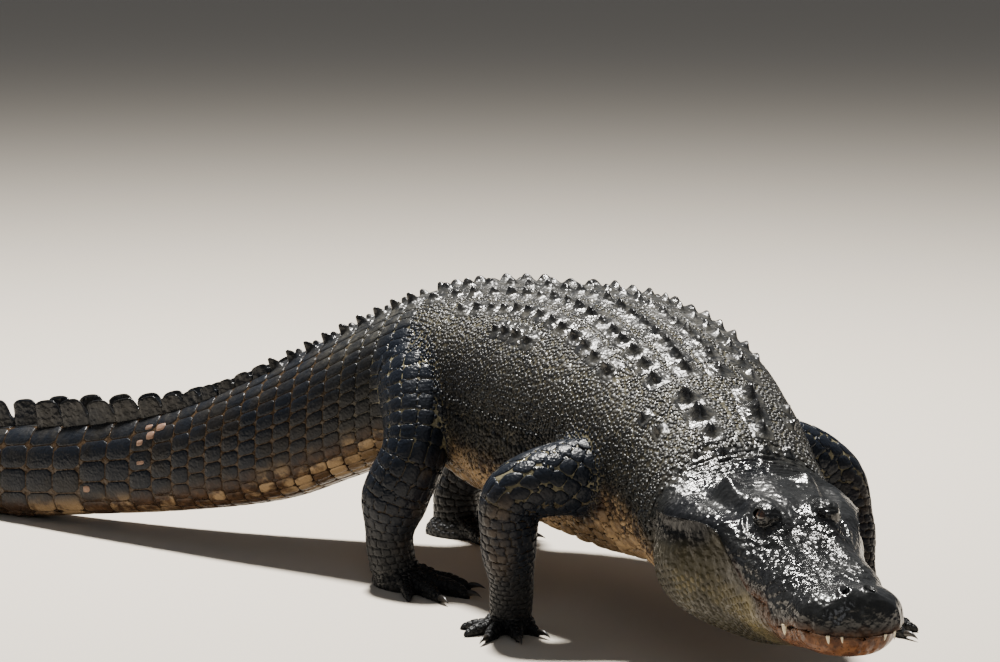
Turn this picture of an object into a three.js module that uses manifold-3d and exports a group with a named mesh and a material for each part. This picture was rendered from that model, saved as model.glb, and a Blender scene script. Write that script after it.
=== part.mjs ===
// A life-size American alligator in its high walk: the trunk is carried off the
// ground on four bent legs, the head turns a little to its right and the tail
// sweeps behind. Units are millimetres, +X runs forwards along the middle of
// the trunk, +Y is the animal's left and +Z is up. The origin lies on the
// ground under the centre of the model's box.
//
// Places on the body are given by s, the distance along the spine back from the
// snout tip. Profiles such as widths and heights are smooth curves through a few
// [s, value] pairs.

import * as THREE from "three";
import { mergeVertices } from "three/addons/utils/BufferGeometryUtils.js";
import Module from "manifold-3d";

const wasm = await Module();
wasm.setup();

// Driving sizes
const TOTAL_LENGTH = 3300;
const GAP = 0.3; // between touching pieces
const HIP_STATION = 1550; // the spine passes x = 0, y = 0 here, before centring
const BOX_CENTRE = [-145.293, -177.102]; // of the uncentred model, x and y

const BODY_SIDES = 24;
const BODY_STEP = 62;

// Where the nodes of the body meet, as stations along the spine
const HEAD_END = 520;
const NECK_END = 735;
const CHEST_END = 1024.5;
const BELLY_END = 1353.5;
const HIPS_END = 1631.5;
const TAIL_BASE_END = 2075.6;
const TAIL_MIDDLE_END = 2621.2;

// Heading of the spine in degrees, positive where the animal turns to its left
const HEADING = [
  [0, -34.6], [440, -34.6], [540, -37], [640, -37], [735, -34], [1000, -26],
  [1175, -18], [1400, 8], [1550, 20], [1750, 20], [2100, 13], [2400, 9], [2900, 18],
  [3300, 34],
];
// Trunk and tail: half width, and heights of the top and the underside above the ground
const HALF_WIDTH = [
  [500, 168], [560, 165], [620, 167], [700, 180], [800, 196], [950, 236], [1175, 262],
  [1350, 246], [1500, 208], [1600, 178], [1725, 152], [1900, 122], [2100, 92],
  [2400, 62], [2700, 42], [3000, 26], [3200, 14], [3300, 5],
];
const TOP = [
  [500, 350], [575, 388], [630, 408], [720, 444], [900, 502], [1175, 540],
  [1400, 535], [1550, 514], [1640, 478], [1725, 434], [1825, 380], [1925, 331],
  [2025, 286], [2125, 252], [2250, 222], [2400, 194], [2550, 172], [2700, 150],
  [3000, 98], [3200, 56], [3300, 22],
];
const UNDERSIDE = [
  [500, 100], [620, 134], [735, 132], [900, 122], [1175, 132], [1400, 160],
  [1500, 190], [1600, 192], [1655, 172], [1725, 144], [1825, 104], [1925, 80],
  [2100, 50], [2300, 22], [2420, 4], [2480, -3], [3300, -3],
];
// Height of the widest level, as a share of the way up from the underside
const WIDEST_LEVEL = [[500, 0.42], [900, 0.42], [1500, 0.45], [1900, 0.42], [3300, 0.4]];
// Squareness of the cross-section: 2 is an ellipse, more is boxier
const TOP_SQUARENESS = [[500, 2.1], [900, 2.3], [1600, 2.3], [1900, 2.5], [3300, 2.2]];
const UNDERSIDE_SQUARENESS = [[500, 2.2], [900, 2.6], [1500, 2.5], [1900, 2.6], [3300, 2.4]];

// Head: heights of the mouth line and the chin, and of the top over a sloping base line
const BASE_AT_TIP = 195;
const BASE_SLOPE = 0.114;
const MOUTH_LINE = [
  [0, 179], [20, 183], [45, 186], [75, 186], [90, 182], [120, 175], [140, 173], [152, 181],
  [166, 198], [190, 200], [226, 201], [252, 214], [278, 234], [308, 260], [332, 280],
  [375, 286], [445, 282], [520, 278],
];
const JAW_BOTTOM = [
  [0, 158], [14, 150], [30, 145], [60, 141], [120, 136], [200, 121], [280, 106], [360, 90],
  [430, 92], [480, 98], [520, 104],
];
const UPPER_HALF_WIDTH = [
  [0, 14], [6, 36], [14, 51], [35, 75], [60, 86], [85, 87], [104, 85], [138, 93], [170, 95],
  [220, 98], [290, 110], [338, 121], [380, 136], [420, 150], [470, 160], [520, 160],
];
const LOWER_INSET = [[0, 16], [30, 14], [70, 10], [300, 9], [380, 3], [420, 0], [520, 0]];
const JOWL_BULGE = [[240, 0], [320, 12], [380, 26], [440, 32], [480, 28], [520, 10]];
const UPPER_HEIGHT = [
  [0, 16], [6, 30], [16, 41], [35, 46], [70, 43], [110, 42], [165, 46], [220, 55],
  [255, 64], [290, 72], [340, 78], [440, 80], [520, 94],
];
const UPPER_SQUARENESS = [
  [0, 2.4], [60, 2.8], [200, 2.6], [290, 2.2], [380, 1.8], [470, 1.9], [520, 2.1],
];
// Flat table of the skull, with a knob at each rear corner
const TABLE_HALF_WIDTH = [[270, 52], [320, 58], [430, 80], [520, 84]];
const TABLE_RAISE = [[270, 0], [330, 13], [430, 14], [466, 4], [500, 0], [520, 0]];
const TABLE_EDGE = 28; // width of the slope at its side
const KNOB = { station: 424, offset: 68, height: 12, length: 24, width: 17 };
const EYE_STATION = 288;
const EYE_OFFSET = 51;
const EYE_HEIGHT = 81;
const EYE_RADIUS = 17;
const BROW = { station: 288, offset: 44, height: 29, length: 34, width: 18 };
const LID = [26, 22, 21.5]; // radii along the head, upright and outwards
const LID_OPENING = { radii: [15.5, 8.5, 16], out: 13 };
const NOSTRIL_STATION = 33;
const NOSTRIL_OFFSET = 19;
const NOSTRIL_SWELLING = { height: 7, length: 24, width: 34 };
const NOSTRIL_HOLE = { radii: [11, 6, 12], turn: 0.7 };
const EAR = { station: 385, offset: 79, height: 88, radii: [26, 7, 3.5], turn: -0.34 };

// Smooth curve through [s, value] pairs that never overshoots them
function curve(pairs) {
  const x = pairs.map((p) => p[0]);
  const y = pairs.map((p) => p[1]);
  const last = x.length - 1;
  const slope = x.slice(1).map((_, i) => (y[i + 1] - y[i]) / (x[i + 1] - x[i]));
  const tangent = y.map((_, i) => {
    if (i === 0 || i === last) return 0;
    if (slope[i - 1] * slope[i] <= 0) return 0;
    return (2 * slope[i - 1] * slope[i]) / (slope[i - 1] + slope[i]);
  });
  tangent[0] = slope[0];
  tangent[last] = slope[last - 1];
  return (at) => {
    const s = Math.min(Math.max(at, x[0]), x[last]);
    let i = 0;
    while (i < last - 1 && s > x[i + 1]) i += 1;
    const width = x[i + 1] - x[i];
    const t = (s - x[i]) / width;
    const rise = t * t * (3 - 2 * t);
    return (
      y[i] * (1 - rise) + y[i + 1] * rise +
      width * t * (1 - t) * ((1 - t) * tangent[i] - t * tangent[i + 1])
    );
  };
}

const heading = curve(HEADING);
const halfWidth = curve(HALF_WIDTH);
const top = curve(TOP);
const underside = curve(UNDERSIDE);
const widestLevel = curve(WIDEST_LEVEL);
const topSquareness = curve(TOP_SQUARENESS);
const undersideSquareness = curve(UNDERSIDE_SQUARENESS);
const mouthLine = curve(MOUTH_LINE);
const jawBottom = curve(JAW_BOTTOM);
const upperHalfWidth = curve(UPPER_HALF_WIDTH);
const lowerInset = curve(LOWER_INSET);
const jowlBulge = curve(JOWL_BULGE);
const upperHeight = curve(UPPER_HEIGHT);
const upperSquareness = curve(UPPER_SQUARENESS);
const tableHalfWidth = curve(TABLE_HALF_WIDTH);
const tableRaise = curve(TABLE_RAISE);

// The spine in plan, added up from the heading in short steps from the snout
const STEP = 5;
const spine = [[0, 0]];
for (let s = 0; s < TOTAL_LENGTH; s += STEP) {
  const turn = THREE.MathUtils.degToRad(heading(s + STEP / 2));
  const [x, y] = spine[spine.length - 1];
  spine.push([x - STEP * Math.cos(turn), y - STEP * Math.sin(turn)]);
}
const [hipX, hipY] = spine[HIP_STATION / STEP];

// A point of the model from its station, its offset to the left and its height
function place(s, left, z) {
  const i = Math.min(Math.max(Math.floor(s / STEP), 0), spine.length - 2);
  const share = s / STEP - i;
  const turn = THREE.MathUtils.degToRad(heading(s));
  const x = spine[i][0] + (spine[i + 1][0] - spine[i][0]) * share - hipX;
  const y = spine[i][1] + (spine[i + 1][1] - spine[i][1]) * share - hipY;
  return new THREE.Vector3(x - left * Math.sin(turn), y + left * Math.cos(turn), z);
}

const power = (value, exponent) => Math.sign(value) * Math.abs(value) ** exponent;
const smooth = (t) => {
  const c = Math.min(Math.max(t, 0), 1);
  return c * c * (3 - 2 * c);
};

// Left offset and height on the trunk's or tail's section, at an angle that runs
// from the left side up over the back
function sectionPoint(s, angle, grow = 0) {
  const low = underside(s) - grow;
  const high = top(s) + grow;
  const level = underside(s) + (top(s) - underside(s)) * widestLevel(s);
  const up = Math.sin(angle) >= 0;
  const exponent = 2 / (up ? topSquareness(s) : undersideSquareness(s));
  return [
    (halfWidth(s) + grow) * power(Math.cos(angle), exponent),
    level + (up ? high - level : level - low) * power(Math.sin(angle), exponent),
  ];
}

// Closed surface through rings of points, with a flat fan on each end
function loft(rings) {
  const sides = rings[0].length;
  const points = rings.flat();
  const index = [];
  for (let r = 0; r < rings.length - 1; r += 1) {
    for (let k = 0; k < sides; k += 1) {
      const a = r * sides + k;
      const b = r * sides + ((k + 1) % sides);
      index.push(a, a + sides, b, b, a + sides, b + sides);
    }
  }
  for (const r of [0, rings.length - 1]) {
    const centre = points.length;
    points.push(
      rings[r].reduce((sum, p) => sum.add(p), new THREE.Vector3()).divideScalar(sides),
    );
    for (let k = 0; k < sides; k += 1) {
      const a = r * sides + k;
      const b = r * sides + ((k + 1) % sides);
      index.push(...(r ? [centre, b, a] : [centre, a, b]));
    }
  }
  return solidFrom(points, index);
}

// Solid from points and triangles, turned so that its faces point out
function solidFrom(points, index) {
  const geometry = new THREE.BufferGeometry().setFromPoints(points);
  geometry.setIndex(index);
  return solidOf(geometry);
}

function solidOf(source) {
  const geometry = source.clone();
  geometry.deleteAttribute("normal");
  geometry.deleteAttribute("uv");
  const merged = mergeVertices(geometry, 1e-3);
  const vertProperties = new Float32Array(merged.attributes.position.array);
  const triVerts = new Uint32Array(merged.index.array);
  let volume = 0;
  const corner = (i) => new THREE.Vector3().fromArray(vertProperties, 3 * triVerts[i]);
  for (let i = 0; i < triVerts.length; i += 3) {
    volume += corner(i).dot(corner(i + 1).cross(corner(i + 2)));
  }
  if (volume < 0) triVerts.reverse();
  return new wasm.Manifold(new wasm.Mesh({ numProp: 3, vertProperties, triVerts }));
}

// Pieces joined into one solid, of which only the largest closed body is kept
function joined(pieces) {
  return largest(pieces.length > 1 ? wasm.Manifold.union(pieces) : pieces[0]);
}

function largest(solid) {
  const bodies = solid.decompose();
  bodies.sort((a, b) => b.volume() - a.volume());
  return bodies[0];
}

const aboveGround = (solid) => largest(solid.trimByPlane([0, 0, 1], 0));

// Stations from one end to the other, about a given step apart
function stations(from, to, step) {
  const count = Math.max(1, Math.round((to - from) / step));
  return Array.from({ length: count + 1 }, (_, i) => from + ((to - from) * i) / count);
}

const lengthStations = ([from, to]) => stations(from + GAP / 2, to - GAP / 2, BODY_STEP);

// The trunk or tail between two stations, or grown over a whole run of such lengths
function bodyLength(lengths, sides, grow = 0) {
  return loft(
    lengths.flatMap(lengthStations).map((s) =>
      Array.from({ length: sides }, (_, k) => {
        const [left, z] = sectionPoint(s, (2 * Math.PI * (k + 0.5)) / sides, grow);
        return place(s, left, z);
      }),
    ),
  );
}

// A length with its plates, cut off just short of the seams where a bend pushes a plate over
const SEAM_MARGIN = 0.05;

function betweenSeams(solid, from, to) {
  let kept = solid;
  for (const [s, sign] of [[from, 1], [to, -1]]) {
    const turn = THREE.MathUtils.degToRad(heading(s));
    const inwards = [-sign * Math.cos(turn), -sign * Math.sin(turn), 0];
    const margin = GAP / 2 - SEAM_MARGIN;
    const offset = new THREE.Vector3(...inwards).dot(place(s, 0, 0)) + margin;
    kept = kept.trimByPlane(inwards, offset);
  }
  return largest(kept);
}

// Frame on the back at a distance round the section from the midline, to the left if positive
function backFrame(s, around) {
  const sign = around < 0 ? -1 : 1;
  let gone = 0;
  let angle = Math.PI / 2;
  let [left, z] = sectionPoint(s, angle);
  const turnStep = Math.PI / 180;
  while (gone < Math.abs(around) && Math.abs(angle - Math.PI / 2) < Math.PI / 2 - 0.05) {
    angle -= sign * turnStep;
    const next = sectionPoint(s, angle);
    gone += Math.hypot(next[0] - left, next[1] - z);
    [left, z] = next;
  }
  const before = sectionPoint(s, angle + sign * turnStep);
  const after = sectionPoint(s, angle - sign * turnStep);
  const across = place(s, after[0], after[1]).sub(place(s, before[0], before[1]));
  across.multiplyScalar(sign).normalize();
  const point = place(s, left, z);
  const [aheadLeft, aheadZ] = sectionPoint(s - 10, angle);
  const ahead = place(s - 10, aheadLeft, aheadZ).sub(point);
  const stretch = ahead.length() / 10; // more than 1 on the outside of a bend
  ahead.normalize();
  const out = new THREE.Vector3().crossVectors(ahead, across).normalize();
  return { point, ahead, across: new THREE.Vector3().crossVectors(out, ahead), out, stretch };
}

function framePoint(frame, forward, left, up) {
  return frame.point
    .clone()
    .addScaledVector(frame.ahead, forward * frame.stretch)
    .addScaledVector(frame.across, left)
    .addScaledVector(frame.out, up);
}

// Bony plate of the back: a low oblong plate whose keel climbs backwards to a blunt end
function scute(frame, length, width, plate, keel, sink = 7) {
  const corners = [[1, 1], [1, -1], [-1, -1], [-1, 1]];
  const points = [
    ...corners.map(([f, l]) => framePoint(frame, f * length * 0.5, l * width * 0.5, -sink)),
    ...corners.map(([f, l]) => framePoint(frame, f * length * 0.44, l * width * 0.4, plate)),
    framePoint(frame, length * 0.3, 0, plate + keel * 0.3),
    framePoint(frame, -length * 0.36, 0, plate + keel),
  ];
  return solidFrom(points, [
    0, 2, 1, 0, 3, 2,
    0, 1, 5, 0, 5, 4, 1, 2, 6, 1, 6, 5, 2, 3, 7, 2, 7, 6, 3, 0, 4, 3, 4, 7,
    4, 5, 8, 6, 7, 9, 5, 6, 9, 5, 9, 8, 7, 4, 8, 7, 8, 9,
  ]);
}

// Upright tail flap: thick at its root, thin at its rounded edge, leaning backwards
function crestFlap(frame, length, height, thick, sink = 12) {
  const outline = [
    [0.5, -sink], [0.42, height * 0.6], [-0.1, height], [-0.46, height * 0.9], [-0.5, -sink],
  ];
  const side = (sign) =>
    outline.map(([f, up]) => {
      const taper = up < 0 ? 1 : 1 - 0.7 * Math.min(up / height, 1);
      return framePoint(frame, f * length, (sign * thick * taper) / 2, up);
    });
  const count = outline.length;
  const index = [];
  for (let k = 0; k < count; k += 1) {
    const next = (k + 1) % count;
    index.push(k, next, count + k, next, count + next, count + k);
  }
  for (let k = 1; k < count - 1; k += 1) {
    index.push(0, k + 1, k, count, count + k, count + k + 1);
  }
  return solidFrom([...side(1), ...side(-1)], index);
}

// Trunk scutes: transverse rows, each with a number of columns that follows the shield's outline
const ROW_PITCH = 47;
const FIRST_ROW = 766;
const ROW_COUNT = 17;
const COLUMN_PITCH = 57;
const COLUMNS_EACH_SIDE = [
  [748, 2], [800, 2.4], [900, 3], [1060, 3.4], [1100, 3.8], [1250, 3.8], [1290, 3.4],
  [1420, 3], [1500, 2], [1620, 2],
];
const columnsEachSide = curve(COLUMNS_EACH_SIDE);
const KEEL_HEIGHT = 13;
const KEEL_SHRINK = 0.06; // from one column to the next outwards

function trunkScutes(from, to) {
  const made = [];
  for (let row = 0; row < ROW_COUNT; row += 1) {
    const s = FIRST_ROW + row * ROW_PITCH;
    if (s < from || s > to) continue;
    const columns = Math.round(columnsEachSide(s));
    for (let c = 0; c < columns; c += 1) {
      for (const sign of [-1, 1]) {
        const frame = backFrame(s, sign * (c + 0.5) * COLUMN_PITCH);
        const shrink = 1 - KEEL_SHRINK * c;
        made.push(
          scute(frame, ROW_PITCH * 0.9, COLUMN_PITCH * 0.86, 2.5, KEEL_HEIGHT * shrink),
        );
      }
    }
  }
  return made;
}

// Plates of the neck, in pairs: small ones behind the skull, three large pairs
// along the middle and two small pairs beside them.
// Each is station, distance from the midline, length, width, keel
const NUCHAL_PLATES = [
  [540, 34, 24, 26, 9],
  [548, 78, 22, 24, 8],
  [582, 42, 44, 44, 17],
  [634, 46, 54, 60, 24],
  [686, 52, 52, 58, 22],
  [646, 118, 34, 34, 14],
  [700, 132, 32, 34, 12],
];

function nuchalScutes() {
  return NUCHAL_PLATES.flatMap(([s, around, length, width, keel]) =>
    [-1, 1].map((sign) => scute(backFrame(s, sign * around), length, width, 3, keel)),
  );
}

// Tail crest: a double row of flaps that draws together, then a single row
const WHORL_PITCH = [
  [1560, 34], [1750, 36], [1900, 37], [2010, 37], [2060, 50], [2120, 54], [2180, 63], [2300, 71],
  [2440, 70], [2520, 62], [2700, 60], [3000, 46], [3250, 30],
];
const CREST_HEIGHT = [
  [1640, 17], [1900, 22], [2050, 30], [2180, 44], [2420, 58], [2700, 52], [3000, 36], [3300, 12],
];
const CREST_SPREAD = [[1560, 78], [1640, 68], [1900, 54], [2150, 40], [2330, 24], [2440, 9]];
const FIRST_WHORL = 1567;
const LAST_WHORL = 3260;
const SINGLE_CREST_START = 2430;
const FLAP_THICKNESS = 11;
const whorlPitch = curve(WHORL_PITCH);
const crestHeight = curve(CREST_HEIGHT);
const crestSpread = curve(CREST_SPREAD);

function whorls() {
  const made = [];
  let s = FIRST_WHORL;
  while (s < LAST_WHORL) {
    made.push(s);
    s += whorlPitch(s);
  }
  return made;
}

function tailFlaps(from, to) {
  return whorls().flatMap((s) => {
    const pitch = whorlPitch(s);
    if (s < from || s > to) return [];
    const signs = s < SINGLE_CREST_START ? [-1, 1] : [0];
    return signs.map((sign) => {
      const frame = backFrame(s, sign * crestSpread(s));
      frame.out.lerp(new THREE.Vector3(0, 0, 1), 0.6).normalize();
      frame.across.crossVectors(frame.out, frame.ahead).normalize();
      return crestFlap(frame, pitch * 0.94, crestHeight(s), FLAP_THICKNESS);
    });
  });
}

// Height of the top of the head over a point at a station and an offset from the midline
const baseLine = (s) => BASE_AT_TIP + BASE_SLOPE * s;

// Soft swelling of the head round one place on each side
function swelling(s, off, shape) {
  const along = (s - shape.station) / shape.length;
  const across = (off - shape.offset) / shape.width;
  return shape.height * Math.exp(-(along ** 2) - across ** 2);
}

function headTop(s, v) {
  const off = Math.abs(v);
  const share = Math.min(off / upperHalfWidth(s), 1);
  const p = upperSquareness(s);
  const lip = mouthLine(s);
  const dome = (baseLine(s) + upperHeight(s) - lip) * (1 - share ** p) ** (1 / p);
  const inside = tableHalfWidth(s) + TABLE_EDGE / 2 - off;
  const table = tableRaise(s) * smooth(inside / TABLE_EDGE);
  const { height, length, width } = NOSTRIL_SWELLING;
  const nose = height * Math.exp(-(((s - NOSTRIL_STATION) / length) ** 2) - (v / width) ** 4);
  const raised = table + swelling(s, off, BROW) + swelling(s, off, KNOB) + nose;
  return Math.max(lip + dome + raised, lip + 2);
}

const HEAD_STATIONS = [
  0, 6, 14, 26, 42, 62, 90, 120, 140, 152, 166, 196, 226, 252, 272, 290, 308, 332, 364,
  400, 434, 460, 486, 520,
];
const HEAD_SIDES = 18; // points over the top, from lip to lip

function upperHead() {
  const rings = HEAD_STATIONS.map((station) => {
    const s = station === HEAD_END ? HEAD_END - GAP / 2 : station;
    const ring = [];
    for (let k = 0; k <= HEAD_SIDES; k += 1) {
      const v = upperHalfWidth(s) * power(Math.cos((Math.PI * k) / HEAD_SIDES), 0.86);
      const edge = k === 0 || k === HEAD_SIDES;
      ring.push(place(s, v, edge ? mouthLine(s) + GAP / 2 : headTop(s, v)));
    }
    for (const share of [-0.7, 0.7]) {
      ring.push(place(s, upperHalfWidth(s) * share, mouthLine(s) + GAP / 2));
    }
    return ring;
  });
  return loft(rings);
}

function lowerJaw() {
  const count = 14;
  const rings = HEAD_STATIONS.slice(2).map((station) => {
    const s = station === HEAD_END ? HEAD_END - GAP / 2 : station;
    const half = upperHalfWidth(s) - lowerInset(s);
    const ring = [];
    for (let k = 0; k <= count; k += 1) {
      const angle = (Math.PI * k) / count;
      const down = Math.sin(angle) ** 0.78;
      const bulge = jowlBulge(s) * Math.sin(2 * Math.min(angle, Math.PI - angle));
      const v = (half + bulge) * power(Math.cos(angle), 0.86);
      ring.push(place(s, v, mouthLine(s) - GAP / 2 - (mouthLine(s) - jawBottom(s)) * down));
    }
    for (const share of [-0.7, 0.7]) {
      ring.push(place(s, half * share, mouthLine(s) - GAP / 2));
    }
    return ring;
  });
  return loft(rings);
}

// Upper teeth that show outside the lower jaw: station, length, radius
const TEETH = [[4, 8, 2.2], [11, 12, 3.2], [112, 16, 4.4]];
const TOOTH_SIDES = 6;

function tooth(s, length, radius, sign) {
  const centre = sign * (upperHalfWidth(s) - radius * 0.5);
  const rings = [6, -length * 0.5, -length].map((z, i) =>
    Array.from({ length: TOOTH_SIDES }, (_, k) => {
      const angle = (2 * Math.PI * k) / TOOTH_SIDES;
      const r = radius * [1, 0.8, 0.15][i];
      return place(s + r * Math.sin(angle), centre + r * Math.cos(angle), mouthLine(s) + z);
    }),
  );
  return loft(rings);
}

// Ellipsoid turned about the upright axis, or set in a frame of three unit vectors
function ball(centre, radii, turn = 0, detail = 12) {
  return ballInFrame(centre, radii, new THREE.Matrix4().makeRotationZ(turn), detail);
}

function ballInFrame(centre, radii, frame, detail) {
  const geometry = new THREE.SphereGeometry(1, detail, Math.round(detail * 0.7));
  geometry.scale(...radii);
  geometry.applyMatrix4(frame);
  geometry.translate(centre.x, centre.y, centre.z);
  return solidOf(geometry);
}

const headTurn = THREE.MathUtils.degToRad(heading(200));
const eyeCentre = (sign) =>
  place(EYE_STATION, sign * EYE_OFFSET, baseLine(EYE_STATION) + EYE_HEIGHT);

// Frame of an eye, which looks sideways, a little forwards and a little up
const EYE_LOOK = { side: 0.86, forward: 0.38, up: 0.34 };

function eyeFrame(sign) {
  const ahead = new THREE.Vector3(Math.cos(headTurn), Math.sin(headTurn), 0);
  const left = new THREE.Vector3(-ahead.y, ahead.x, 0);
  const look = left
    .multiplyScalar(sign * EYE_LOOK.side)
    .addScaledVector(ahead, EYE_LOOK.forward)
    .add(new THREE.Vector3(0, 0, EYE_LOOK.up))
    .normalize();
  const along = ahead.addScaledVector(look, -ahead.dot(look)).normalize();
  const upright = new THREE.Vector3().crossVectors(look, along);
  return { look, matrix: new THREE.Matrix4().makeBasis(along, upright, look) };
}

function headNode() {
  const teeth = TEETH.flatMap((shape) => [-1, 1].map((sign) => tooth(...shape, sign)));
  const lids = [-1, 1].map((sign) =>
    ballInFrame(eyeCentre(sign), LID, eyeFrame(sign).matrix, 10),
  );
  let solid = joined([upperHead(), ...teeth, ...lids]);
  for (const sign of [-1, 1]) {
    const { look, matrix } = eyeFrame(sign);
    const opening = eyeCentre(sign).addScaledVector(look, LID_OPENING.out);
    const nostril = place(
      NOSTRIL_STATION, sign * NOSTRIL_OFFSET, headTop(NOSTRIL_STATION, NOSTRIL_OFFSET),
    );
    const ear = place(EAR.station, sign * EAR.offset, baseLine(EAR.station) + EAR.height);
    const grown = EYE_RADIUS + GAP;
    solid = solid
      .subtract(ballInFrame(opening, LID_OPENING.radii, matrix, 8))
      .subtract(ball(eyeCentre(sign), [grown, grown, grown]))
      .subtract(ball(nostril, NOSTRIL_HOLE.radii, headTurn + sign * NOSTRIL_HOLE.turn, 8))
      .subtract(ball(ear, EAR.radii, headTurn + sign * EAR.turn, 8));
  }
  return largest(solid);
}

// Limbs: a smooth line through joints, with an oval section at each joint
// joint: [x, y, z, half width across the limb's bend, half depth in the bend]
const LIMBS = {
  right_fore: {
    joints: [
      [655, -180, 290, 74, 80], [580, -290, 280, 68, 68], [500, -378, 248, 54, 62],
      [484, -376, 165, 48, 54], [472, -354, 88, 38, 44], [462, -344, 22, 36, 40],
    ],
    elbow: 2, wrist: 4, foot: [452, -332], toward: -72, fore: true,
  },
  left_fore: {
    joints: [
      [725, -50, 296, 76, 84], [766, 34, 288, 68, 72], [806, 104, 250, 56, 62],
      [838, 111, 165, 48, 54], [866, 96, 88, 37, 43], [884, 90, 22, 36, 40],
    ],
    elbow: 2, wrist: 4, foot: [894, 86], toward: -14, fore: true,
  },
  right_hind: {
    joints: [
      [-10, -30, 395, 84, 96], [70, -130, 372, 76, 86], [120, -205, 250, 58, 64],
      [88, -222, 165, 60, 64], [74, -222, 92, 40, 50], [80, -216, 26, 40, 48],
    ],
    elbow: 2, wrist: 4, foot: [100, -212], toward: -10, fore: false,
  },
  left_hind: {
    joints: [
      [-10, 40, 395, 84, 96], [-52, 140, 372, 76, 86], [-40, 222, 248, 58, 64],
      [-86, 218, 162, 56, 60], [-130, 205, 92, 40, 48], [-130, 200, 26, 40, 48],
    ],
    elbow: 2, wrist: 4, foot: [-120, 196], toward: 10, fore: false,
  },
};
const LIMB_SIDES = 12;
const RINGS_PER_JOINT = 4;

function limbRings(limb) {
  const points = limb.joints.map(([x, y, z]) => new THREE.Vector3(x, y, z));
  const line = new THREE.CatmullRomCurve3(points, false, "centripetal");
  const last = points.length - 1;
  const rings = [];
  const ahead = new THREE.Vector3(
    Math.cos(THREE.MathUtils.degToRad(limb.toward)),
    Math.sin(THREE.MathUtils.degToRad(limb.toward)),
    0,
  );
  for (let i = 0; i <= last * RINGS_PER_JOINT; i += 1) {
    const t = i / (last * RINGS_PER_JOINT);
    const centre = line.getPoint(t);
    const along = line.getTangent(t);
    const depthWay = ahead.clone().addScaledVector(along, -ahead.dot(along)).normalize();
    const widthWay = new THREE.Vector3().crossVectors(along, depthWay);
    const near = Math.min(Math.floor(i / RINGS_PER_JOINT), last - 1);
    const share = smooth(i / RINGS_PER_JOINT - near);
    const size = (k) =>
      limb.joints[near][k] * (1 - share) + limb.joints[near + 1][k] * share;
    rings.push({ centre, along, widthWay, depthWay, width: size(3), depth: size(4) });
  }
  return rings;
}

// Length of a limb between two rings. Points that the bend would push past an
// end are held back from it, further for each ring away from that end.
const HOLD_BACK = 2.5;

function limbPiece(rings, from, to) {
  const picked = rings.slice(from, to + 1);
  const last = picked.length - 1;
  const beyond = (point, ring) => point.clone().sub(ring.centre).dot(ring.along);
  return loft(
    picked.map((ring, i) =>
      Array.from({ length: LIMB_SIDES }, (_, k) => {
        const angle = (2 * Math.PI * k) / LIMB_SIDES;
        const point = ring.centre
          .clone()
          .addScaledVector(ring.widthWay, ring.width * Math.cos(angle))
          .addScaledVector(ring.depthWay, ring.depth * Math.sin(angle));
        const fromStart = beyond(point, picked[0]) - GAP / 2 - HOLD_BACK * i;
        if (i === 0 || fromStart < 0) point.addScaledVector(picked[0].along, -fromStart);
        const fromEnd = beyond(point, picked[last]) + GAP / 2 + HOLD_BACK * (last - i);
        if (i === last || fromEnd > 0) point.addScaledVector(picked[last].along, -fromEnd);
        return point;
      }),
    ),
  );
}

// Feet: digits fan out from the sole, each with its angle in degrees from the
// foot's direction, its length and its radius
const DIGITS = {
  fore: [[62, 78, 12], [30, 104, 13], [0, 112, 13], [-30, 102, 11], [-64, 88, 10]],
  hind: [[34, 128, 16], [11, 156, 16], [-12, 150, 14], [-34, 128, 12]],
};
const DIGIT_SIDES = 8;
// Along a digit: share of its length, factor on its radius, height for one of radius 13
const DIGIT_SHAPE = [[0, 1.5, 26], [0.4, 1.1, 17], [0.75, 0.94, 12], [1, 0.66, 8.5]];
const CLAWED_DIGITS = 3;
const CLAW_LENGTH = 27;
const CLAW_SIDES = 6;
// Along a claw: share of its length, radius, height
const CLAW_SHAPE = [[0, 6, 10], [0.4, 5, 9], [0.75, 3.4, 6.5], [1, 0.8, 2.2]];
const FORE_SOLE = [50, 44, 34]; // radii along, across and up
const HIND_SOLE = [74, 48, 38];
const SOLE_LEVEL = 6;
const WEB = { reach: 0.66, arch: 0.14, thick: 7, level: 1 };

function digitRings(root, angle, length, radius) {
  const way = new THREE.Vector3(Math.cos(angle), Math.sin(angle), 0);
  const side = new THREE.Vector3(-way.y, way.x, 0);
  return DIGIT_SHAPE.map(([share, factor, height]) => {
    const r = radius * factor;
    const centre = root.clone().addScaledVector(way, length * share);
    centre.z = height * (radius / 13);
    const rise = Math.max(r, centre.z + 1.5);
    return Array.from({ length: DIGIT_SIDES }, (_, k) => {
      const turn = (2 * Math.PI * k) / DIGIT_SIDES;
      const up = Math.sin(turn);
      return centre
        .clone()
        .addScaledVector(side, r * Math.cos(turn))
        .add(new THREE.Vector3(0, 0, up * (up < 0 ? rise : r * 0.95)));
    });
  });
}

const middleOf = (ring) =>
  ring.reduce((sum, p) => sum.add(p), new THREE.Vector3()).divideScalar(ring.length);

// Claw that carries on from the last rings of a digit
function claw(rings) {
  const centre = middleOf(rings[rings.length - 1]);
  const inner = middleOf(rings[rings.length - 2]);
  const way = centre.clone().sub(inner).setZ(0).normalize();
  const side = new THREE.Vector3(-way.y, way.x, 0);
  return loft(
    CLAW_SHAPE.map(([share, radius, height]) => {
      const forward = Math.max(share * CLAW_LENGTH, GAP);
      return Array.from({ length: CLAW_SIDES }, (_, k) => {
        const turn = (2 * Math.PI * k) / CLAW_SIDES;
        const point = centre.clone().addScaledVector(way, forward);
        point.addScaledVector(side, radius * Math.cos(turn));
        point.z = Math.max(height + radius * Math.sin(turn), 0.4);
        return point;
      });
    }),
  );
}

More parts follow.
